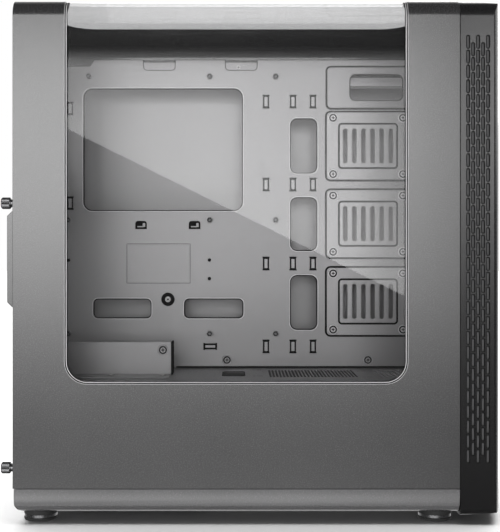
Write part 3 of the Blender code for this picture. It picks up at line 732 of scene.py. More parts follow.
def tray():
    cpu = rect((-0.1891, -0.0134), (0.3033, 0.4383), 0.0099)
    upright = [
        rect((0.0382, 0.0684), z, 0.0077) for z in ((0.3445, 0.4054), (0.2594, 0.3187), (0.1726, 0.2330))
    ]
    flat = [rect(x, (0.1853, 0.2072), 0.0055) for x in ((-0.1781, -0.1139), (-0.0782, -0.0129))]
    upper = rect((0.1036, 0.1628), (0.4242, 0.4536), 0.0066)
    behind = [about(BRACKET_X, z, 0.062, 0.044, 0.003) for z in BRACKET_Z]
    ties = [tie_hole(x, z) for x, z in UPRIGHT_TIES] + [tie_hole(*FLAT_TIE, True)]
    clips = [d_hole(x, CLIP_Z) for x in CLIPS]
    small = [circle(x, z, 0.0019, 16) for x, z in SPARE_NUTS]
    loops = [tray_outline(), cpu, *upright, *flat, upper, *behind, *ties, *clips, *small]
    sheet = slab("tray_sheet", "Y", (TRAY_Y, INNER_FACE), loops, INNER, edge=0.00035)
    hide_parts("motherboard_tray")

    # a turned-back lip round each large opening
    lips = []
    for loop in (cpu, *upright, *flat):
        lips.append(
            slab_bm("Y", (INNER_FACE - 0.0003, INNER_FACE + 0.0022), border(loop, -0.0007, 0.0002), 0.0001)
        )
    piece("opening_lips", merge(*lips), INNER, CHASSIS)

    spots = []
    for row, down in enumerate(HOLE_ROWS):
        for column, along in enumerate(HOLE_COLUMNS):
            shift = 0.02286 if (row, column) == (0, 0) else 0.0
            spots.append((HOLE_X + along + shift, HOLE_TOP - down))
    hexes = [
        slab_bm(
            "Y", (TRAY[0].y, TRAY_Y - 0.0002), [circle(x, z, 0.0029, 6), circle(x, z, 0.0014, 16)], 0.0003
        )
        for x, z in spots
    ]
    piece("standoffs", merge(*hexes), DARK, CHASSIS)
    bosses = [
        turned_bm(
            [(0, 0.0001), (0.0035, 0.0001), (0.0033, 0.0005), (0.0027, 0.0007), (0, 0.0007)], (x, TRAY_Y, z),
            (0, -1, 0), 32
        )
        for x, z in spots
    ]
    piece("standoff_bosses", merge(*bosses), INNER, CHASSIS)
    plugs = [
        turned_bm(
            [(0, 0), (0.0024, 0), (0.0024, 0.0014), (0, 0.0014)], (x, INNER_FACE + 0.0015, z), (0, -1, 0), 20
        )
        for x, z in SPARE_NUTS
    ]
    piece("spare_board_nuts", merge(*plugs), BLACK_RUBBER_AND_SHADE, CHASSIS)

    # black plates behind the tie and clip holes: a painted shade seen through them
    hole_shades, bars = [], []
    for x, z, wide, tall in [(x, z, TIE_WIDTH, TIE_LENGTH) for x, z in UPRIGHT_TIES] + [
        (*FLAT_TIE, TIE_LENGTH, TIE_WIDTH)
    ]:
        hole_shades.append(
            slab_bm(
                "Y", (INNER_FACE + 0.0002, INNER_FACE + 0.0008), [about(x, z, wide + 0.002, tall + 0.002)],
                0.0002
            )
        )
        bars.append(
            slab_bm(
                "Y", (TRAY_Y - 0.0002, INNER_FACE + 0.0004),
                [about(x, z, wide - 0.0042, tall - 0.0050, 0.0003, 2)], 0.0003
            )
        )
    for x in CLIPS:
        hole_shades.append(
            slab_bm(
                "Y", (INNER_FACE + 0.0002, INNER_FACE + 0.0008), [about(x, CLIP_Z, 0.0150, 0.0110)], 0.0002
            )
        )
        bars.append(
            slab_bm(
                "Y", (TRAY_Y - 0.0004, INNER_FACE + 0.0004),
                [rect((x + 0.0018, x + 0.0045), (CLIP_Z - 0.0022, CLIP_Z + 0.0022), 0.0006, 3)], 0.0003
            )
        )
        bars.append(
            slab_bm(
                "Y", (TRAY_Y - 0.0001, INNER_FACE + 0.0004),
                [rect((x - 0.0040, x + 0.0022), (CLIP_Z - 0.0024, CLIP_Z - 0.0011))], 0.0003
            )
        )
    piece("tie_bridge_hole_shades", merge(*hole_shades), BLACK_RUBBER_AND_SHADE, CHASSIS)
    piece("tie_bridges", merge(*bars), LIGHT, CHASSIS)

    # a painted highlight on the rolled edge and a painted shadow in the gap round the openings, and a painted
    # shadow line behind the sheet's rim
    rims = [
        slab_bm("Y", (TRAY_Y - 0.0002, TRAY_Y + 0.0003), border(loop, -0.0008, -0.0001), 0.0001)
        for loop in (cpu, *upright, *flat)
    ]
    piece("opening_rim_highlights", merge(*rims), EDGE, CHASSIS)
    gaps = [
        slab_bm("Y", (INNER_FACE + 0.0023, INNER_FACE + 0.0026), border(loop, -0.0004, 0.0011), 0)
        for loop in (cpu, *upright, *flat, upper)
    ]
    outer = tray_outline()
    gaps.append(slab_bm("Y", (INNER_FACE + 0.0001, INNER_FACE + 0.0004), border(outer, -0.0008, 0.0020), 0))
    piece("tray_shadow_gaps", merge(*gaps), BLACK_RUBBER_AND_SHADE, CHASSIS)
    # a painted shadow in the slit under the tray's foot
    slab(
        "tray_foot_shade", "Y", (TRAY_Y - 0.0010, TRAY_Y - 0.0002),
        [rect((-0.0866, TRAY[1].x), (TRAY[0].z + 0.0001, TRAY[0].z + 0.0018))], BLACK_RUBBER_AND_SHADE, edge=0,
    )

    # label area: a shallow raised frame with nothing written in it, and a painted shadow line round it
    frame_loop = rect((-0.1408, -0.0716), (0.2242, 0.2671))
    slab(
        "label_gap_shade", "Y", (TRAY_Y - 0.0001, TRAY_Y + 0.0002), border(frame_loop, -0.0004, 0.0002), DARK,
        edge=0
    )
    slab(
        "label_frame", "Y", (TRAY_Y - 0.0003, TRAY_Y + 0.0002), [frame_loop, inset(frame_loop, 0.0008)],
        INNER, edge=0.0002
    )

    ring = [
        (0.0032, 0.0), (0.0066, 0.0), (0.0073, 0.0009), (0.0070, 0.0019), (0.0058, 0.0026), (0.0040, 0.0026),
        (0.0032, 0.0018), (0.0032, 0.0)
    ]
    turned("grommet", ring, (GROMMET[0], TRAY_Y, GROMMET[1]), (0, -1, 0), BLACK_RUBBER_AND_SHADE)
    heads("grommet_screw", "Y", TRAY_Y, -0.0016, [GROMMET], 0.0031, EDGE)

    for number, (x, z) in enumerate(((-0.0310, 0.1397), (0.1238, 0.1397))):
        dimple(f"tray_dimple_{number + 1}", x, z, TRAY_Y)

    # raised plate round the upper opening, with a painted shadow in the gap all round it
    outline = rect((0.0792, 0.1845), (0.4165, 0.4609), 0.0040)
    slab(
        "upper_gap_shade", "Y", (TRAY_Y - 0.0002, TRAY_Y + 0.0001), border(outline, -0.0020, 0.0004), BLACK_RUBBER_AND_SHADE,
        edge=0.0001
    )
    slab(
        "upper_plate", "Y", (TRAY_Y - 0.0009, TRAY_Y - 0.00005), [outline, inset(upper, -0.0001)], INNER,
        edge=0.00038
    )
    slab(
        "upper_ledge", "X", (0.0950, 0.1700),
        [[(0.0640, 0.4410), (0.0735, 0.4410), (0.0735, 0.4448), (0.0640, 0.4448)]], INNER, edge=0.0005,
    )
    slab(
        "upper_ledge_back", "Y", (0.0725, 0.0737), [rect((0.0940, 0.1710), (0.4400, 0.4520))], INNER,
    )

    # pressed tongues behind the two notches in the top edge
    tongues = [
        slab_bm(
            "Y", (INNER_FACE + 0.0006, INNER_FACE + 0.0016),
            [rect((left - 0.002, right + 0.002), (TRAY[1].z - 0.0150, TRAY[1].z - 0.0022), 0.002)], 0.0004
        )
        for left, right in NOTCHES
    ]
    piece("notch_tongues", merge(*tongues), INNER, CHASSIS)
    heads("notch_screw", "Y", INNER_FACE + 0.0006, -0.0008, [(-0.0183, 0.4612)], 0.0019, EDGE)


def dimple(name, x, z, face):
    """A screw sunk in a pressed cup: a ring, a black disc in the cup as painted shade, and the head in it."""
    ring = [(0.0040, 0.0), (0.0054, 0.0), (0.0052, 0.0005), (0.0047, 0.0007), (0.0041, 0.0005), (0.0040, 0.0)]
    turned(f"{name}_ring", ring, (x, face, z), (0, -1, 0), LIGHT)
    turned(
        f"{name}_cup", [(0, 0), (0.0041, 0), (0.0040, 0.0002), (0, 0.0002)], (x, face, z), (0, -1, 0), BLACK_RUBBER_AND_SHADE,
        sides=32
    )
    heads(f"{name}_screw", "Y", face - 0.0001, -0.0009, [(x, z)], 0.0028, LIGHT)


tray()

# ---------------------------------------------------------------- drive brackets


def brackets():
    for number, z in enumerate(BRACKET_Z):
        outline = about(BRACKET_X, z, 0.0903, 0.0738, 0.0042)
        gap = border(outline, -0.0020, 0.0010)
        # a painted shadow line round the bracket
        slab(f"bracket_gap_{number + 1}", "Y", (TRAY_Y - 0.00028, TRAY_Y + 0.0001), gap, BLACK_RUBBER_AND_SHADE, edge=0.0001)
        slots = [about(BRACKET_X + 0.01 * (j - 2.5), z, 0.0048, 0.0382, 0.00239, 8) for j in range(6)]
        plate = slab(
            f"bracket_plate_{number + 1}", "Y", (
                TRAY_Y - 0.0015, TRAY_Y - 0.0003
            ), [outline, *slots], LIGHT, edge=0.0005
        )
        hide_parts(f"drive_bracket_{number + 1}")
        mid = about(BRACKET_X, z, 0.0651, 0.0499, 0.0040)
        face = TRAY_Y - 0.0015
        rim = border(mid, -0.0004, 0.0017)
        # a painted shadow in the groove round the raised middle
        slab(f"bracket_groove_{number + 1}", "Y", (face - 0.00015, face + 0.0002), rim, BLACK_RUBBER_AND_SHADE, edge=0.00005)
        raised = [inset(mid, 0.0016), *slots]
        slab(
            f"bracket_plateau_{number + 1}", "Y", (face - 0.0007, face + 0.0001), raised, LIGHT, edge=0.00035,
        )
        spots = [(BRACKET_X + a * 0.0383, z + b * 0.03086) for a, b in CORNERS]
        rings = []
        for x, v in spots:
            ring = [(0.0041, 0.0), (0.0053, 0.0), (0.0052, 0.0004), (0.0046, 0.0006), (0.0041, 0.0)]
            rings.append(turned_bm(ring, (x, face, v), (0, -1, 0), 32))
        piece(f"bracket_rings_{number + 1}", merge(*rings), EDGE, CHASSIS)
        # black discs under the screws: a painted shade in their cups
        cup_shades = [
            turned_bm([(0, 0), (0.0043, 0), (0.0043, 0.0001), (0, 0.0001)], (x, face, v), (0, -1, 0), 24)
            for x, v in spots
        ]
        piece(f"bracket_cups_{number + 1}", merge(*cup_shades), BLACK_RUBBER_AND_SHADE, CHASSIS)
        heads(f"bracket_screws_{number + 1}", "Y", face, -0.0009, spots, 0.0028, EDGE)


brackets()

# ---------------------------------------------------------------- shroud and cover plate

SHROUD_TOP = SHROUD[1].z


def shroud():
    rear, front = SHROUD[0].x, SHROUD[1].x
    y0, y1 = SHROUD[0].y, SHROUD[1].y
    slits = [
        rect((0.0135 + 0.0035 * i, 0.0135 + 0.0035 * i + 0.0021), (-0.033, 0.038), 0.0008, 2)
        for i in range(26)
    ]
    holes = [
        about(0.1275 + 0.005 * i, -0.0305 + 0.005 * j + 0.0025 * (i % 2), 0.0034, 0.0034, 0.0016, 2)
        for i in range(6) for j in range(14)
    ]
    keys = []
    for x, y in ((-0.001, 0.038), (-0.001, -0.023), (0.110, 0.027), (0.110, -0.033)):
        keys += [circle(x - 0.0012, y, 0.0016, 12), about(x + 0.0045, y, 0.0060, 0.0030, 0.0013, 3)]
    cable = rect((-0.0340, -0.0125), (-0.023, 0.017), 0.003)
    top = slab_bm(
        "Z", (SHROUD_TOP - SHEET, SHROUD_TOP), [rect((rear, front), (y0, y1)), cable, *slits, *holes, *keys],
        0.00035
    )
    side = slab_bm("Y", (y0, y0 + SHEET), [rect((rear, front), (SHROUD[0].z, SHROUD_TOP))], 0.0004)
    sheet = piece("shroud_sheet", merge(top, side), INNER, CHASSIS)
    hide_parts("psu_shroud")
    slab(
        "shroud_cable_lip", "Z", (SHROUD_TOP - 0.0004, SHROUD_TOP + 0.0006), border(cable, -0.0012, 0.0004),
        RUBBER, edge=0.0003
    )

    low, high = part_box("shroud_cover_plate")
    face = slab_bm("Y", (-0.0135, -0.0125), [rect((low.x, high.x), (low.z, high.z))], 0.0004)
    foot = slab_bm("Z", (low.z, low.z + SHEET), [rect((low.x, high.x), (low.y, -0.0127))], 0.0004)
    end = slab_bm("X", (high.x - SHEET, high.x), [rect((-0.0127, high.y), (low.z, high.z))], 0.0004)
    cover = piece("cover_plate", merge(face, foot, end), INNER, CHASSIS)
    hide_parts("shroud_cover_plate")
    dimple("cover_dimple", -0.0959, 0.1566, -0.0135)
    # a painted shadow in the gap at the cover plate's end
    slab(
        "cover_end_shade", "Y", (-0.0130, 0.0110), [rect((high.x, high.x + 0.0015), (low.z, high.z - 0.0002))],
        BLACK_RUBBER_AND_SHADE, edge=0
    )
    heads(
        "cover_screws", "Z", low.z + SHEET, 0.0014, [(-0.1475, -0.028), (-0.0948, -0.028)], 0.0030, NICKEL,
    )


shroud()

# ---------------------------------------------------------------- rear end


CARD_LOW, CARD_PITCH = 0.171, 0.02032  # expansion slots: the lowest, and their pitch
REAR_FAN = (-0.047, 0.385)


def rear_end():
    low, high = 0.0313, 0.486
    slots = [
        rect(
            (-0.066, 0.045), (CARD_LOW + i * CARD_PITCH - 0.007, CARD_LOW + i * CARD_PITCH + 0.007), 0.0008, 3
        )
        for i in range(7)
    ]
    io = rect((0.0115, 0.056), (0.300, 0.45875), 0.001)
    fan = circle(*REAR_FAN, 0.054, 64)
    supply = rect((-0.090, 0.050), (0.040, 0.118), 0.004)
    bolts = [circle(REAR_FAN[0] + a * FAN_BOLT, REAR_FAN[1] + b * FAN_BOLT, 0.0023, 16) for a, b in CORNERS]
    vents = [
        circle(0.060 + 0.0064 * i, 0.170 + 0.0064 * j * 1.1 + 0.0035 * (i % 2), 0.0026, 6) for i in range(6)
        for j in range(19)
    ]
    loops = [rect((-0.104, 0.104), (low, high), 0.009), io, fan, supply, *slots, *bolts, *vents]
    wall = slab("rear_sheet", "X", (WALL[0].x, WALL[1].x), loops, INNER, edge=0.0003)
    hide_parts("rear_wall")

    opening = ((-0.092, 0.092), (0.045, 0.472))
    screw_holes = [circle(s * SCREW_Y, z, 0.0024, 20) for s in (-1, 1) for z in SCREW_Z]
    outline = rect((RIM[0].y, RIM[1].y), (RIM[0].z, RIM[1].z), 0.011)
    face = slab_bm("X", (RIM[0].x, RIM[0].x + SHEET), [outline, rect(*opening, 0.002), *screw_holes], 0.0004)
    walls = [rect(*[(a - SHEET, b + SHEET) for a, b in opening], 0.003), rect(*opening, 0.002)]
    depth = slab_bm("X", (RIM[0].x + 0.0004, RIM[1].x), walls, 0.0002)
    rim = piece("rim_frame", merge(face, depth), STEEL, CHASSIS)
    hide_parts("rear_rim")
    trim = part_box("rear_top_trim")
    bar = slab(
        "rear_trim", "X", (trim[0].x, trim[1].x),
        [rect((trim[0].y, trim[1].y), (trim[0].z, trim[1].z), 0.004)], BEZEL_PLASTIC, edge=0.001,
    )
    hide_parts("rear_top_trim")

    screws = []
    for i in range(7):
        node = f"slot_cover_{i + 1}"
        a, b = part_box(node)
        z = (a.z + b.z) / 2
        holes = [about(-0.0500 + 0.0225 * j, z, 0.0180, 0.0030, 0.0014, 4) for j in range(4)]
        strips = [h for dz in (-0.0032, 0.0032) for h in ([(u, v + dz) for u, v in hole] for hole in holes)]
        blade = slab_bm(
            "X", (b.x - 0.0008, b.x), [rect((-0.0645, b.y), (a.z, b.z), 0.0012, 3), *strips], 0.0002
        )
        tab = slab_bm(
            "Y", (a.y, a.y + 0.0008),
            [rect((a.x, b.x), (a.z, b.z), 0.0008, 2), circle(a.x + 0.0045, z, 0.0016, 14)], 0.0002
        )
        cover = piece(f"slot_blank_{i + 1}", merge(blade, tab), INNER, CHASSIS)
        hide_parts(node)
        screws.append((a.x + 0.0045, z))
    heads("slot_screws", "Y", -0.0647, -0.0016, screws, 0.0029, NICKEL)

    a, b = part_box("slot_screw_cover")
    chamfer = 0.0045
    profile = [
        (b.x, a.z), (a.x + chamfer, a.z), (a.x, a.z + chamfer), (a.x, b.z - chamfer), (a.x + chamfer, b.z),
        (b.x, b.z)
    ]
    inner = [
        (b.x, a.z + 0.0045), (a.x + 0.0050, a.z + 0.0045), (a.x + 0.0012, a.z + 0.0055),
        (a.x + 0.0012, b.z - 0.0055), (a.x + 0.0050, b.z - 0.0045), (b.x, b.z - 0.0045)
    ]
    band = slab_bm("Y", (a.y + 0.0003, b.y - 0.0003), [profile + list(reversed(inner))], 0.0002)
    cheeks = [slab_bm("Y", span, [profile], 0.0004) for span in ((a.y, a.y + 0.0012), (b.y - 0.0012, b.y))]
    hump = piece("slot_hump", merge(band, *cheeks), STEEL, "slot_screw_cover")
    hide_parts("slot_screw_cover")


rear_end()

# ---------------------------------------------------------------- thumbscrews


def knurled(radius, count=36, depth=0.00022):
    """A circle with fine teeth."""
    points = []
    for i in range(count * 2):
        turn = math.pi * i / count
        reach = radius - (depth if i % 2 else 0)
        points.append((reach * math.cos(turn), reach * math.sin(turn)))
    return points


def thumbscrews():
    for side, y in (("left", -SCREW_Y), ("right", SCREW_Y)):
        for place, z in zip(("upper", "lower"), SCREW_Z):
            name = f"thumbscrew_{side}_{place}"
            grip = [(y + u, z + v) for u, v in knurled(0.0055)]
            cross = plus(y, z, 0.0030, 0.0006)
            head = slab_bm("X", (-0.2412, -0.2335), [grip], 0.0005)
            cap = slab_bm("X", (-0.2419, -0.2409), [circle(y, z, 0.0047, 40), cross], 0.0004)
            stem = turned_bm(
                [
                    (0, 0), (0.0044, 0), (0.0044, 0.0008), (0.0036, 0.0012), (0.0036, 0.0038),
                    (0.0019, 0.0038), (0.0019, 0.0105), (0, 0.0110)
                ],
                (-0.2336, y, z),
                (1, 0, 0),
                32,
            )
            screw = piece(f"knob_{side}_{place}", merge(head, cap, stem), DARK_NICKEL, name, 25)
            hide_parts(name)


thumbscrews()

# ---------------------------------------------------------------- fans


def blade(turn, middle, z, count=10):
    """A curved fan blade: steep at its root, flatter at its tip."""
    bm = bmesh.new()
    rows = []
    for i in range(count):
        t = i / (count - 1)
        r = 0.0188 + (0.0545 - 0.0188) * t
        pitch = math.radians(52 - 22 * t)
        chord = 0.020 + 0.012 * t - 0.010 * t * t
        sweep = math.radians(14) * t * t
        row = []
        for j in range(9):
            s = j / 8 - 0.5
            camber = 0.0028 * (1 - 4 * s * s)
            along = s * chord * math.sin(pitch)
            across = s * chord * math.cos(pitch)
            depth = max(-0.0098, min(0.0098, along + camber * math.cos(pitch)))
            angle = turn + sweep + (across - camber * math.sin(pitch)) / r
            row.append((depth, r * math.cos(angle), r * math.sin(angle), abs(s)))
        rows.append(row)
    sheets = []
    for side in (-1, 1):
        sheet = []
        for row in rows:
            line = []
            for depth, v, w, s in row:
                half = 0.00055 * (1 - 2 * s * s) + 0.0001
                line.append(bm.verts.new((middle + max(-0.0099, min(0.0099, depth + side * half)), v, z + w)))
            sheet.append(line)
        sheets.append(sheet)
    low, high = sheets
    for i in range(count - 1):
        for j in range(8):
            bm.faces.new((low[i][j], low[i + 1][j], low[i + 1][j + 1], low[i][j + 1]))
            bm.faces.new((high[i][j], high[i][j + 1], high[i + 1][j + 1], high[i + 1][j]))
    for i in range(count - 1):
        bm.faces.new((low[i][0], high[i][0], high[i + 1][0], low[i + 1][0]))
        bm.faces.new((low[i][8], low[i + 1][8], high[i + 1][8], high[i][8]))
    for j in range(8):
        bm.faces.new((low[0][j], low[0][j + 1], high[0][j + 1], high[0][j]))
        bm.faces.new((low[-1][j], high[-1][j], high[-1][j + 1], low[-1][j + 1]))
    return bm


def fans():
    for number, z in enumerate(FAN_Z, 1):
        a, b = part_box(f"fan_frame_{number}")
        start, end = a.x, b.x
        outline = about(0, z, 0.120, 0.120, 0.007)
        bolts = [circle(p * FAN_BOLT, z + q * FAN_BOLT, 0.0022, 16) for p, q in CORNERS]
        flanges = [
            slab_bm("X", span, [outline, circle(0, z, 0.0578, 72), *bolts], 0.0006)
            for span in ((start, start + 0.0038), (end - 0.0038, end))
        ]
        duct = slab_bm(
            "X", (start + 0.0005, end - 0.0005), [circle(0, z, 0.0596, 72), circle(0, z, 0.0578, 72)], 0.0002
        )
        struts = [slab_bm("X", (start + 0.0002, start + 0.0030), [circle(0, z, 0.0205, 48)], 0.0005)]
        for j in range(4):
            turn = math.radians(45 + 90 * j)
            along, across = Vector((math.cos(turn), math.sin(turn))), Vector(
                (-math.sin(turn), math.cos(turn))
            )
            ends = [(0.017, -0.0030), (0.0585, -0.0016), (0.0585, 0.0016), (0.017, 0.0030)]
            loop = [tuple(along * r + across * w) for r, w in ends]
            struts.append(
                slab_bm("X", (start + 0.0003, start + 0.0026), [[(u, z + v) for u, v in loop]], 0.0005)
            )
        frame_piece = piece(
            f"fan_housing_{number}", merge(*flanges, duct, *struts), FAN_PLASTIC, CHASSIS
        )
        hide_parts(f"fan_frame_{number}")
        pads = []
        for x in (start, end - 0.0006):
            for p, q in CORNERS:
                spot = (p * FAN_BOLT, z + q * FAN_BOLT)
                pads.append(
                    slab_bm(
                        "X", (x, x + 0.0006), [circle(*spot, 0.0050, 24), circle(*spot, 0.0024, 16)], 0.0002
                    )
                )
        piece(f"fan_pads_{number}", merge(*pads), RUBBER, CHASSIS)
        middle = start + 0.0145
        hub = turned_bm(
            [
                (0, -0.0100), (0.0175, -0.0100), (0.0188, -0.0092), (0.0190, -0.0080), (0.0190, 0.0084),
                (0.0184, 0.0094), (0.0172, 0.0099), (0, 0.0100)
            ],
            (middle, 0, z), (1, 0, 0), 64
        )
        blades = [blade(2 * math.pi * j / 7, middle, z) for j in range(7)]
        rotor = piece(
            f"fan_wheel_{number}", merge(hub, *blades), FAN_PLASTIC, f"fan_rotor_{number}", 40
        )
        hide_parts(f"fan_rotor_{number}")


fans()

# ---------------------------------------------------------------- bezel's fittings


USB_Y = (-0.020, -0.038)
JACK_Y = (0.030, 0.040)


def port_shelf():
    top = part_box("port_panel")[1].z
    x = 0.213
    usb = [about(x, y, 0.0062, 0.0136, 0.0008) for y in USB_Y]
    jacks = [circle(x, y, 0.0034, 32) for y in JACK_Y]
    keys = [circle(x, 0, 0.0083, 48), circle(x, 0.0165, 0.0043, 32)]
    outline = rect((0.1973, 0.2287), (-0.0497, 0.0497), 0.002)
    shelf = slab(
        "port_shelf", "Z", (top - 0.0024, top), [outline, *usb, *jacks, *keys], DARK, "bezel", 0.0003,
    )
    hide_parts("port_panel")
    rings = [
        slab_bm(
            "Z", (top - 0.0003, top + 0.0003), [circle(x, 0, 0.0096, 48), circle(x, 0, 0.0084, 48)], 0.0003
        )
    ]
    rings += [
        slab_bm(
            "Z", (top - 0.0003, top + 0.0002), [circle(x, y, 0.0042, 32), circle(x, y, 0.0034, 32)], 0.0002
        )
        for y in JACK_Y
    ]
    piece("port_rings", merge(*rings), DARK_NICKEL, "bezel")
    for i, y in enumerate(USB_Y):
        a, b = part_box(f"usb_socket_{i + 1}")
        shell = slab(
            f"usb_shell_{i + 1}", "Z", (a.z, b.z),
            [about(x, y, 0.0076, 0.0150, 0.0006, 3), about(x, y, 0.0050, 0.0126, 0.0004, 3)], NICKEL, "bezel",
            0.0002
        )
        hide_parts(f"usb_socket_{i + 1}")
        slab(
            f"usb_tongue_{i + 1}", "Z", (a.z + 0.0002, b.z - 0.0008),
            [rect((x + 0.0004, x + 0.0022), (y - 0.0055, y + 0.0055), 0.0002, 2)], USB_BLUE, "bezel", 0.0002,
        )
    a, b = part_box("audio_sockets")
    jack = slab(
        "jack_block", "Z", (a.z, b.z),
        [rect((a.x, b.x), (a.y, b.y), 0.0008), *[circle(x, y, 0.0018, 24) for y in JACK_Y]], JACK_INSERT,
        "bezel", 0.0004
    )
    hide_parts("audio_sockets")
    for name, y, radius in (("power_button", 0.0, 0.0080), ("reset_button", 0.0165, 0.0040)):
        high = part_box(name)[1].z
        dish = radius * 0.78
        profile = [
            (0, -0.0100), (radius, -0.0100), (radius, -0.0007), (radius - 0.0003, -0.0001),
            (radius - 0.0008, 0), (dish, -0.0001), (dish * 0.5, -0.0006), (0, -0.0008)
        ]
        key = turned(
            f"{name}_cap", profile, (x, y, high), (0, 0, 1), BEZEL_PLASTIC, name, 56
        )
        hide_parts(name)


def filters():
    a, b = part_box("front_filter")
    outline = rect((a.y, b.y), (a.z, b.z), 0.004)
    bars = [rect((-0.074, 0.074), (low, low + 0.0935), 0.004) for low in (0.0655, 0.1635, 0.2615, 0.3595)]
    front = slab(
        "front_filter_frame", "X", (a.x, b.x), [outline, *bars], DARK, "bezel", 0.0006
    )
    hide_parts("front_filter")
    mid = (a.x + b.x) / 2
    slab(
        "front_filter_net", "X", (mid - 0.0003, mid + 0.0003),
        [rect((-0.0755, 0.0755), (0.0640, 0.4560), 0.003)], NET, "bezel", 0
    )

    a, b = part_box("psu_filter")
    outline = rect((a.x, b.x), (a.y, b.y), 0.004)
    panes = [
        rect((a.x + 0.016 + 0.0505 * i, a.x + 0.016 + 0.0505 * i + 0.0465), (-0.062, 0.062), 0.003)
        for i in range(3)
    ]
    low = slab(
        "psu_filter_frame", "Z", (a.z, b.z), [outline, *panes], DARK, "psu_filter", 0.0006
    )
    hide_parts("psu_filter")
    mid = (a.z + b.z) / 2
    slab(
        "psu_filter_net", "Z", (mid - 0.0003, mid + 0.0003),
        [rect((a.x + 0.014, b.x - 0.005), (-0.0635, 0.0635), 0.003)], NET, "psu_filter", 0
    )


port_shelf()
filters()

# ---------------------------------------------------------------- base


def base():
    """One moulded base: a shallow tray with a way for air, its lower edges rounded."""
    side, top, low = HALF - 0.0003, BASE[1].z, BASE[0].z
    outer = [(side, top), (side, 0.026), (side - 0.0012, 0.018)]
    outer += arc(side - 0.0082, low + 0.007, 0.0058, -15, -90, 10)[:-1] + [(side - 0.0095, low)]
    inner = [
        (side - 0.0100, low + 0.002), (side - 0.0034, 0.0190), (side - 0.0022, 0.026), (side - 0.0022, top)
    ]
    section = outer + [(-y, z) for y, z in reversed(outer)]
    section += [(-y, z) for y, z in reversed(inner)] + inner
    shell = plain_slab("base", "X", (BASE[0].x, BASE[1].x), section, BASE_PLASTIC, CHASSIS)
    ends = arc(BASE[0].x + 0.009, low + 0.009, 0.009, 180, 270, 8)
    ends += [(BASE[1].x + 0.01, low - 0.0001), (BASE[1].x + 0.01, top + 0.001), (BASE[0].x, top + 0.001)]
    boolean(shell, plain_slab("base_ends", "Y", (-0.2, 0.2), ends), "INTERSECT")
    boolean(shell, plain_box("way", (-0.190, -0.050), (-0.060, 0.060), (0, 0.02)), "DIFFERENCE")
    smooth(shell.data, 35)
    soften(shell, 0.0004, 2)
    weigh_normals(shell)
    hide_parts("base_rear", "base_front", "base_left", "base_right")


def feet():
    for end, x in (("rear", -0.2085), ("front", 0.1708)):
        for side, y in (("left", -0.080), ("right", 0.080)):
            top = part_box(f"foot_{end}_{side}")[1].z
            pad = [
                (0, 0), (0.0146, 0), (0.0156, 0.0005), (0.0160, 0.0014), (0.0160, 0.0026), (0.0154, 0.0031),
                (0, 0.0031)
            ]
            foot = turned(f"pad_{end}_{side}", pad, (x, y, 0), (0, 0, 1), RUBBER, CHASSIS, 64)
            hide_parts(f"foot_{end}_{side}")
            band = [
                (0, 0.0030), (0.0152, 0.0030), (0.0156, 0.0034), (0.0156, 0.0060), (0.0152, 0.0064),
                (0, 0.0064)
            ]
            turned(f"foot_band_{end}_{side}", band, (x, y, 0), (0, 0, 1), DARK_NICKEL, CHASSIS, 64)
            cap = [(0, 0.0063), (0.0160, 0.0063), (0.0160, top), (0, top)]
            turned(f"foot_cap_{end}_{side}", cap, (x, y, 0), (0, 0, 1), RUBBER, CHASSIS, 64)


base()
feet()

# ---------------------------------------------------------------- finishes of the rest

REST = {
    "chassis_floor": INNER,
    "front_wall": INNER,
    "drive_cage": INNER,
    "roof_bar_rear": STEEL,
    "roof_bar_front": STEEL,
    "filter_rail_left": BASE_PLASTIC,
    "filter_rail_right": BASE_PLASTIC,
    "drive_tray_1": DARK,
    "drive_tray_2": DARK,
    "port_board": BOARD,
}
for node, look in REST.items():
    obj = frame["nodes"][node]
    obj.data.materials.clear()
    obj.data.materials.append(look)
    soften(obj, 0.0003, 2)
    weigh_normals(obj)

# ---------------------------------------------------------------- lights, floor, camera

SCENE = bpy.context.scene
SCENE.view_settings.view_transform = "Standard"
SCENE.cycles.max_bounces = 10
SCENE.cycles.transparent_max_bounces = 16


def card(name, place, target, size, radiance):
    """A soft light: a rectangle of even brightness that the camera doesn't see."""
    light = bpy.data.lights.new(name, "AREA")
    light.shape = "RECTANGLE"
    light.size, light.size_y = size
    light.energy = radiance * math.pi * size[0] * size[1]
    obj = bpy.data.objects.new(name, light)
    aim = (Vector(target) - Vector(place)).to_track_quat("-Z", "Y")
    obj.matrix_world = Matrix.Translation(place) @ aim.to_matrix().to_4x4()
    obj.visible_camera = False
    SCENE.collection.objects.link(obj)
    return obj


def graded(light, *shares):
    """Brightness that changes over the card: each share is (x, y, start) weights of the place and its stops."""
    light.data.use_nodes = True
    tree = light.data.node_tree
    place = tree.nodes.new("ShaderNodeNewGeometry").outputs["Parametric"]
    result = None
    for (x, y, start), stops in shares:
        along = tree.nodes.new("ShaderNodeVectorMath")
        along.operation = "DOT_PRODUCT"
        along.inputs[1].default_value = (x, y, 0)
        tree.links.new(place, along.inputs[0])
        moved = tree.nodes.new("ShaderNodeMath")
        moved.inputs[1].default_value = start
        tree.links.new(along.outputs["Value"], moved.inputs[0])
        ramp = tree.nodes.new("ShaderNodeValToRGB")
        ramp.color_ramp.interpolation = "LINEAR"
        elements = ramp.color_ramp.elements
        for number, (position, share) in enumerate(stops):
            element = elements[number] if number < 2 else elements.new(position)
            element.position, element.color = position, (share, share, share, 1)
        tree.links.new(moved.outputs[0], ramp.inputs["Fac"])
        if result:
            both = tree.nodes.new("ShaderNodeMath")
            both.operation = "MULTIPLY"
            tree.links.new(result, both.inputs[0])
            tree.links.new(ramp.outputs["Color"], both.inputs[1])
            result = both.outputs[0]
        else:
            result = ramp.outputs["Color"]
    tree.links.new(result, tree.nodes["Emission"].inputs["Strength"])


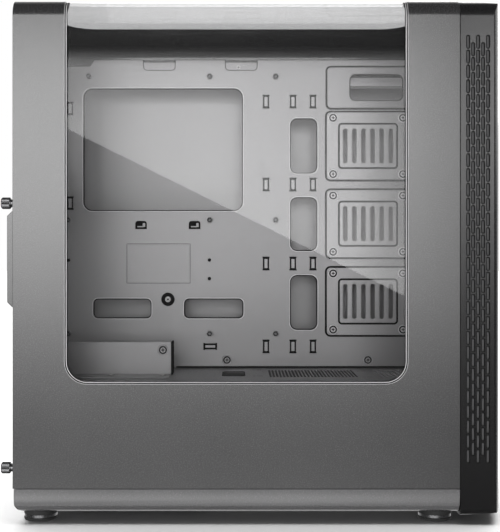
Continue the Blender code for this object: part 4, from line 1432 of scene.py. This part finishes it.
def only_for(light, pieces, included):
    """Light linking: the light falls only on these pieces, or on all but these."""
    group = bpy.data.collections.new(light.name + "_receivers")
    for obj in pieces:
        group.objects.link(obj)
    light.light_linking.receiver_collection = group
    if not included:
        for entry in group.collection_objects:
            entry.light_linking.link_state = "EXCLUDE"


def world():
    """White to the camera; as a light, dim in front of the window side and bright behind it."""
    made = bpy.data.worlds.new("studio")
    made.use_nodes = True
    tree = made.node_tree
    shown = tree.nodes["Background"]
    shown.inputs["Color"].default_value = (1, 1, 1, 1)
    lit = tree.nodes.new("ShaderNodeBackground")
    lit.inputs["Color"].default_value = (1, 1, 1, 1)
    place = tree.nodes.new("ShaderNodeTexCoord")
    split = tree.nodes.new("ShaderNodeSeparateXYZ")
    spread = tree.nodes.new("ShaderNodeMapRange")
    spread.interpolation_type = "SMOOTHSTEP"
    for key, value in (("From Min", 0.25), ("From Max", 0.85), ("To Min", 0.14), ("To Max", 1.0)):
        spread.inputs[key].default_value = value
    tree.links.new(place.outputs["Generated"], split.inputs[0])
    tree.links.new(split.outputs["Y"], spread.inputs["Value"])
    tree.links.new(spread.outputs["Result"], lit.inputs["Strength"])
    path = tree.nodes.new("ShaderNodeLightPath")
    blend = tree.nodes.new("ShaderNodeMixShader")
    tree.links.new(path.outputs["Is Camera Ray"], blend.inputs[0])
    tree.links.new(lit.outputs[0], blend.inputs[1])
    tree.links.new(shown.outputs[0], blend.inputs[2])
    tree.links.new(blend.outputs[0], tree.nodes["World Output"].inputs["Surface"])
    SCENE.world = made


def floor():
    m = Nodes("pale_floor")
    m.set(Specular_IOR_Level=0.0)
    m.shader.inputs["Base Color"].default_value = (0.88, 0.88, 0.88, 1)
    m.link(m.ramp(m.noise(3.0), 0.10, 0.14), m.shader.inputs["Roughness"])
    bm = bmesh.new()
    bmesh.ops.create_grid(bm, x_segments=1, y_segments=1, size=40)
    obj = piece("floor", bm, m.material, None, 32, False)
    # the main card reaches below floor level, so the floor neither hides nor shades it
    obj.visible_glossy = False
    obj.visible_shadow = False
    return obj


world()
FLOOR = floor()
PANE = bpy.data.objects["window_pane"]
MAIN = card("main_card", (-0.525, -2.5, -0.055), (-0.525, 0, -0.055), (2.85, 2.29), 5.5)
ACROSS_STOPS = ((0.0, 1.0), (0.825, 1.0), (0.877, 0.74), (0.912, 0.56), (1.0, 0.35))
UP_STOPS = ((0.0, 0.6), (0.15, 0.5), (0.25, 0.12), (0.328, 0.09), (0.384, 0.03), (0.441, 0.02))
UP_STOPS += ((0.511, 0.28), (0.581, 0.60), (0.652, 0.77), (0.722, 0.90), (0.792, 1.0), (1.0, 1.0))
graded(MAIN, ((1, 0, 0), ACROSS_STOPS), ((0, 1, 0), UP_STOPS))
FRONT = [obj for obj in SCENE.objects if obj.type == "MESH" and BEZEL_PLASTIC.name in obj.data.materials]
only_for(MAIN, [PANE, FLOOR, *FRONT], False)
FRONT_CARD = card("front_card", (0.90, -2.5, 0.545), (0.90, 0, 0.545), (1.1, 1.09), 7.2)
FRONT_STOPS = ((0.0, 0.02), (0.14, 0.10), (0.30, 0.45), (0.45, 0.9), (0.55, 1.0))
graded(FRONT_CARD, ((0, 1, 0), FRONT_STOPS))
only_for(FRONT_CARD, FRONT, True)

EDGE_START, EDGE_END = Vector((-0.577, -2.5, 0.685)), Vector((0.521, -2.5, 0.141))
ALONG = (EDGE_END - EDGE_START).normalized()
ACROSS = Vector((-ALONG.z, 0, ALONG.x))
LONG, TALL = 3.4, 2.2
MIDDLE = (EDGE_START + EDGE_END) / 2 + ACROSS * TALL / 2
GLEAM = card("window_card", MIDDLE, MIDDLE + Vector((0, 1, 0)), (LONG, TALL), 2.6)
FADE_STOPS = ((0.0, 1.0), (0.12, 0.85), (0.35, 0.45), (1.0, 0.35))
# the gleam ends below the tray's top edge: a stop by height, not along the diagonal
RISE = (LONG * ALONG.z / 2, TALL * ACROSS.z / 2)
START = (MIDDLE.z - LONG * ALONG.z / 2 - TALL * ACROSS.z / 2) / 2
graded(GLEAM, ((0, 1, 0), FADE_STOPS), ((*RISE, START), ((0.445, 1.0), (0.47, 0.08))))
GLEAM.matrix_world = Matrix.Translation(MIDDLE) @ Matrix((ALONG, ACROSS, (0, -1, 0))).transposed().to_4x4()
only_for(GLEAM, [PANE], True)

FLOOR_LIGHT = bpy.data.lights.new("floor_light", "SUN")
FLOOR_LIGHT.energy = 5.2
FLOOR_LIGHT.angle = math.radians(75)
SUN = bpy.data.objects.new("floor_light", FLOOR_LIGHT)
SUN.rotation_euler = (math.radians(-14), 0, 0)
SCENE.collection.objects.link(SUN)
only_for(SUN, [FLOOR], True)
for name, place, target, size, radiance in (
    ("right_card", (0.6, 2.6, 1.5), (0.0, 0.1, 0.25), (2.4, 1.6), 2.4),
    ("rear_card", (-2.8, 0.4, 1.2), (-0.2, 0.0, 0.25), (1.8, 1.6), 2.4),
    ("nose_card", (2.6, 0.9, 1.3), (0.24, 0.0, 0.25), (1.4, 1.6), 2.0),
):
    only_for(card(name, place, target, size, radiance), [FLOOR], False)

CAMERA = bpy.data.cameras.new("photo_view")
CAMERA.sensor_width = 36
CAMERA.lens = 70.85
CAMERA.shift_x = 10 / 532
CAMERA.shift_y = -1 / 532
EYE = bpy.data.objects.new("photo_view", CAMERA)
EYE.location = (-0.0167, -1.090, 0.244)
EYE.rotation_euler = (math.pi / 2, 0, 0)
SCENE.collection.objects.link(EYE)
SCENE.camera = EYE
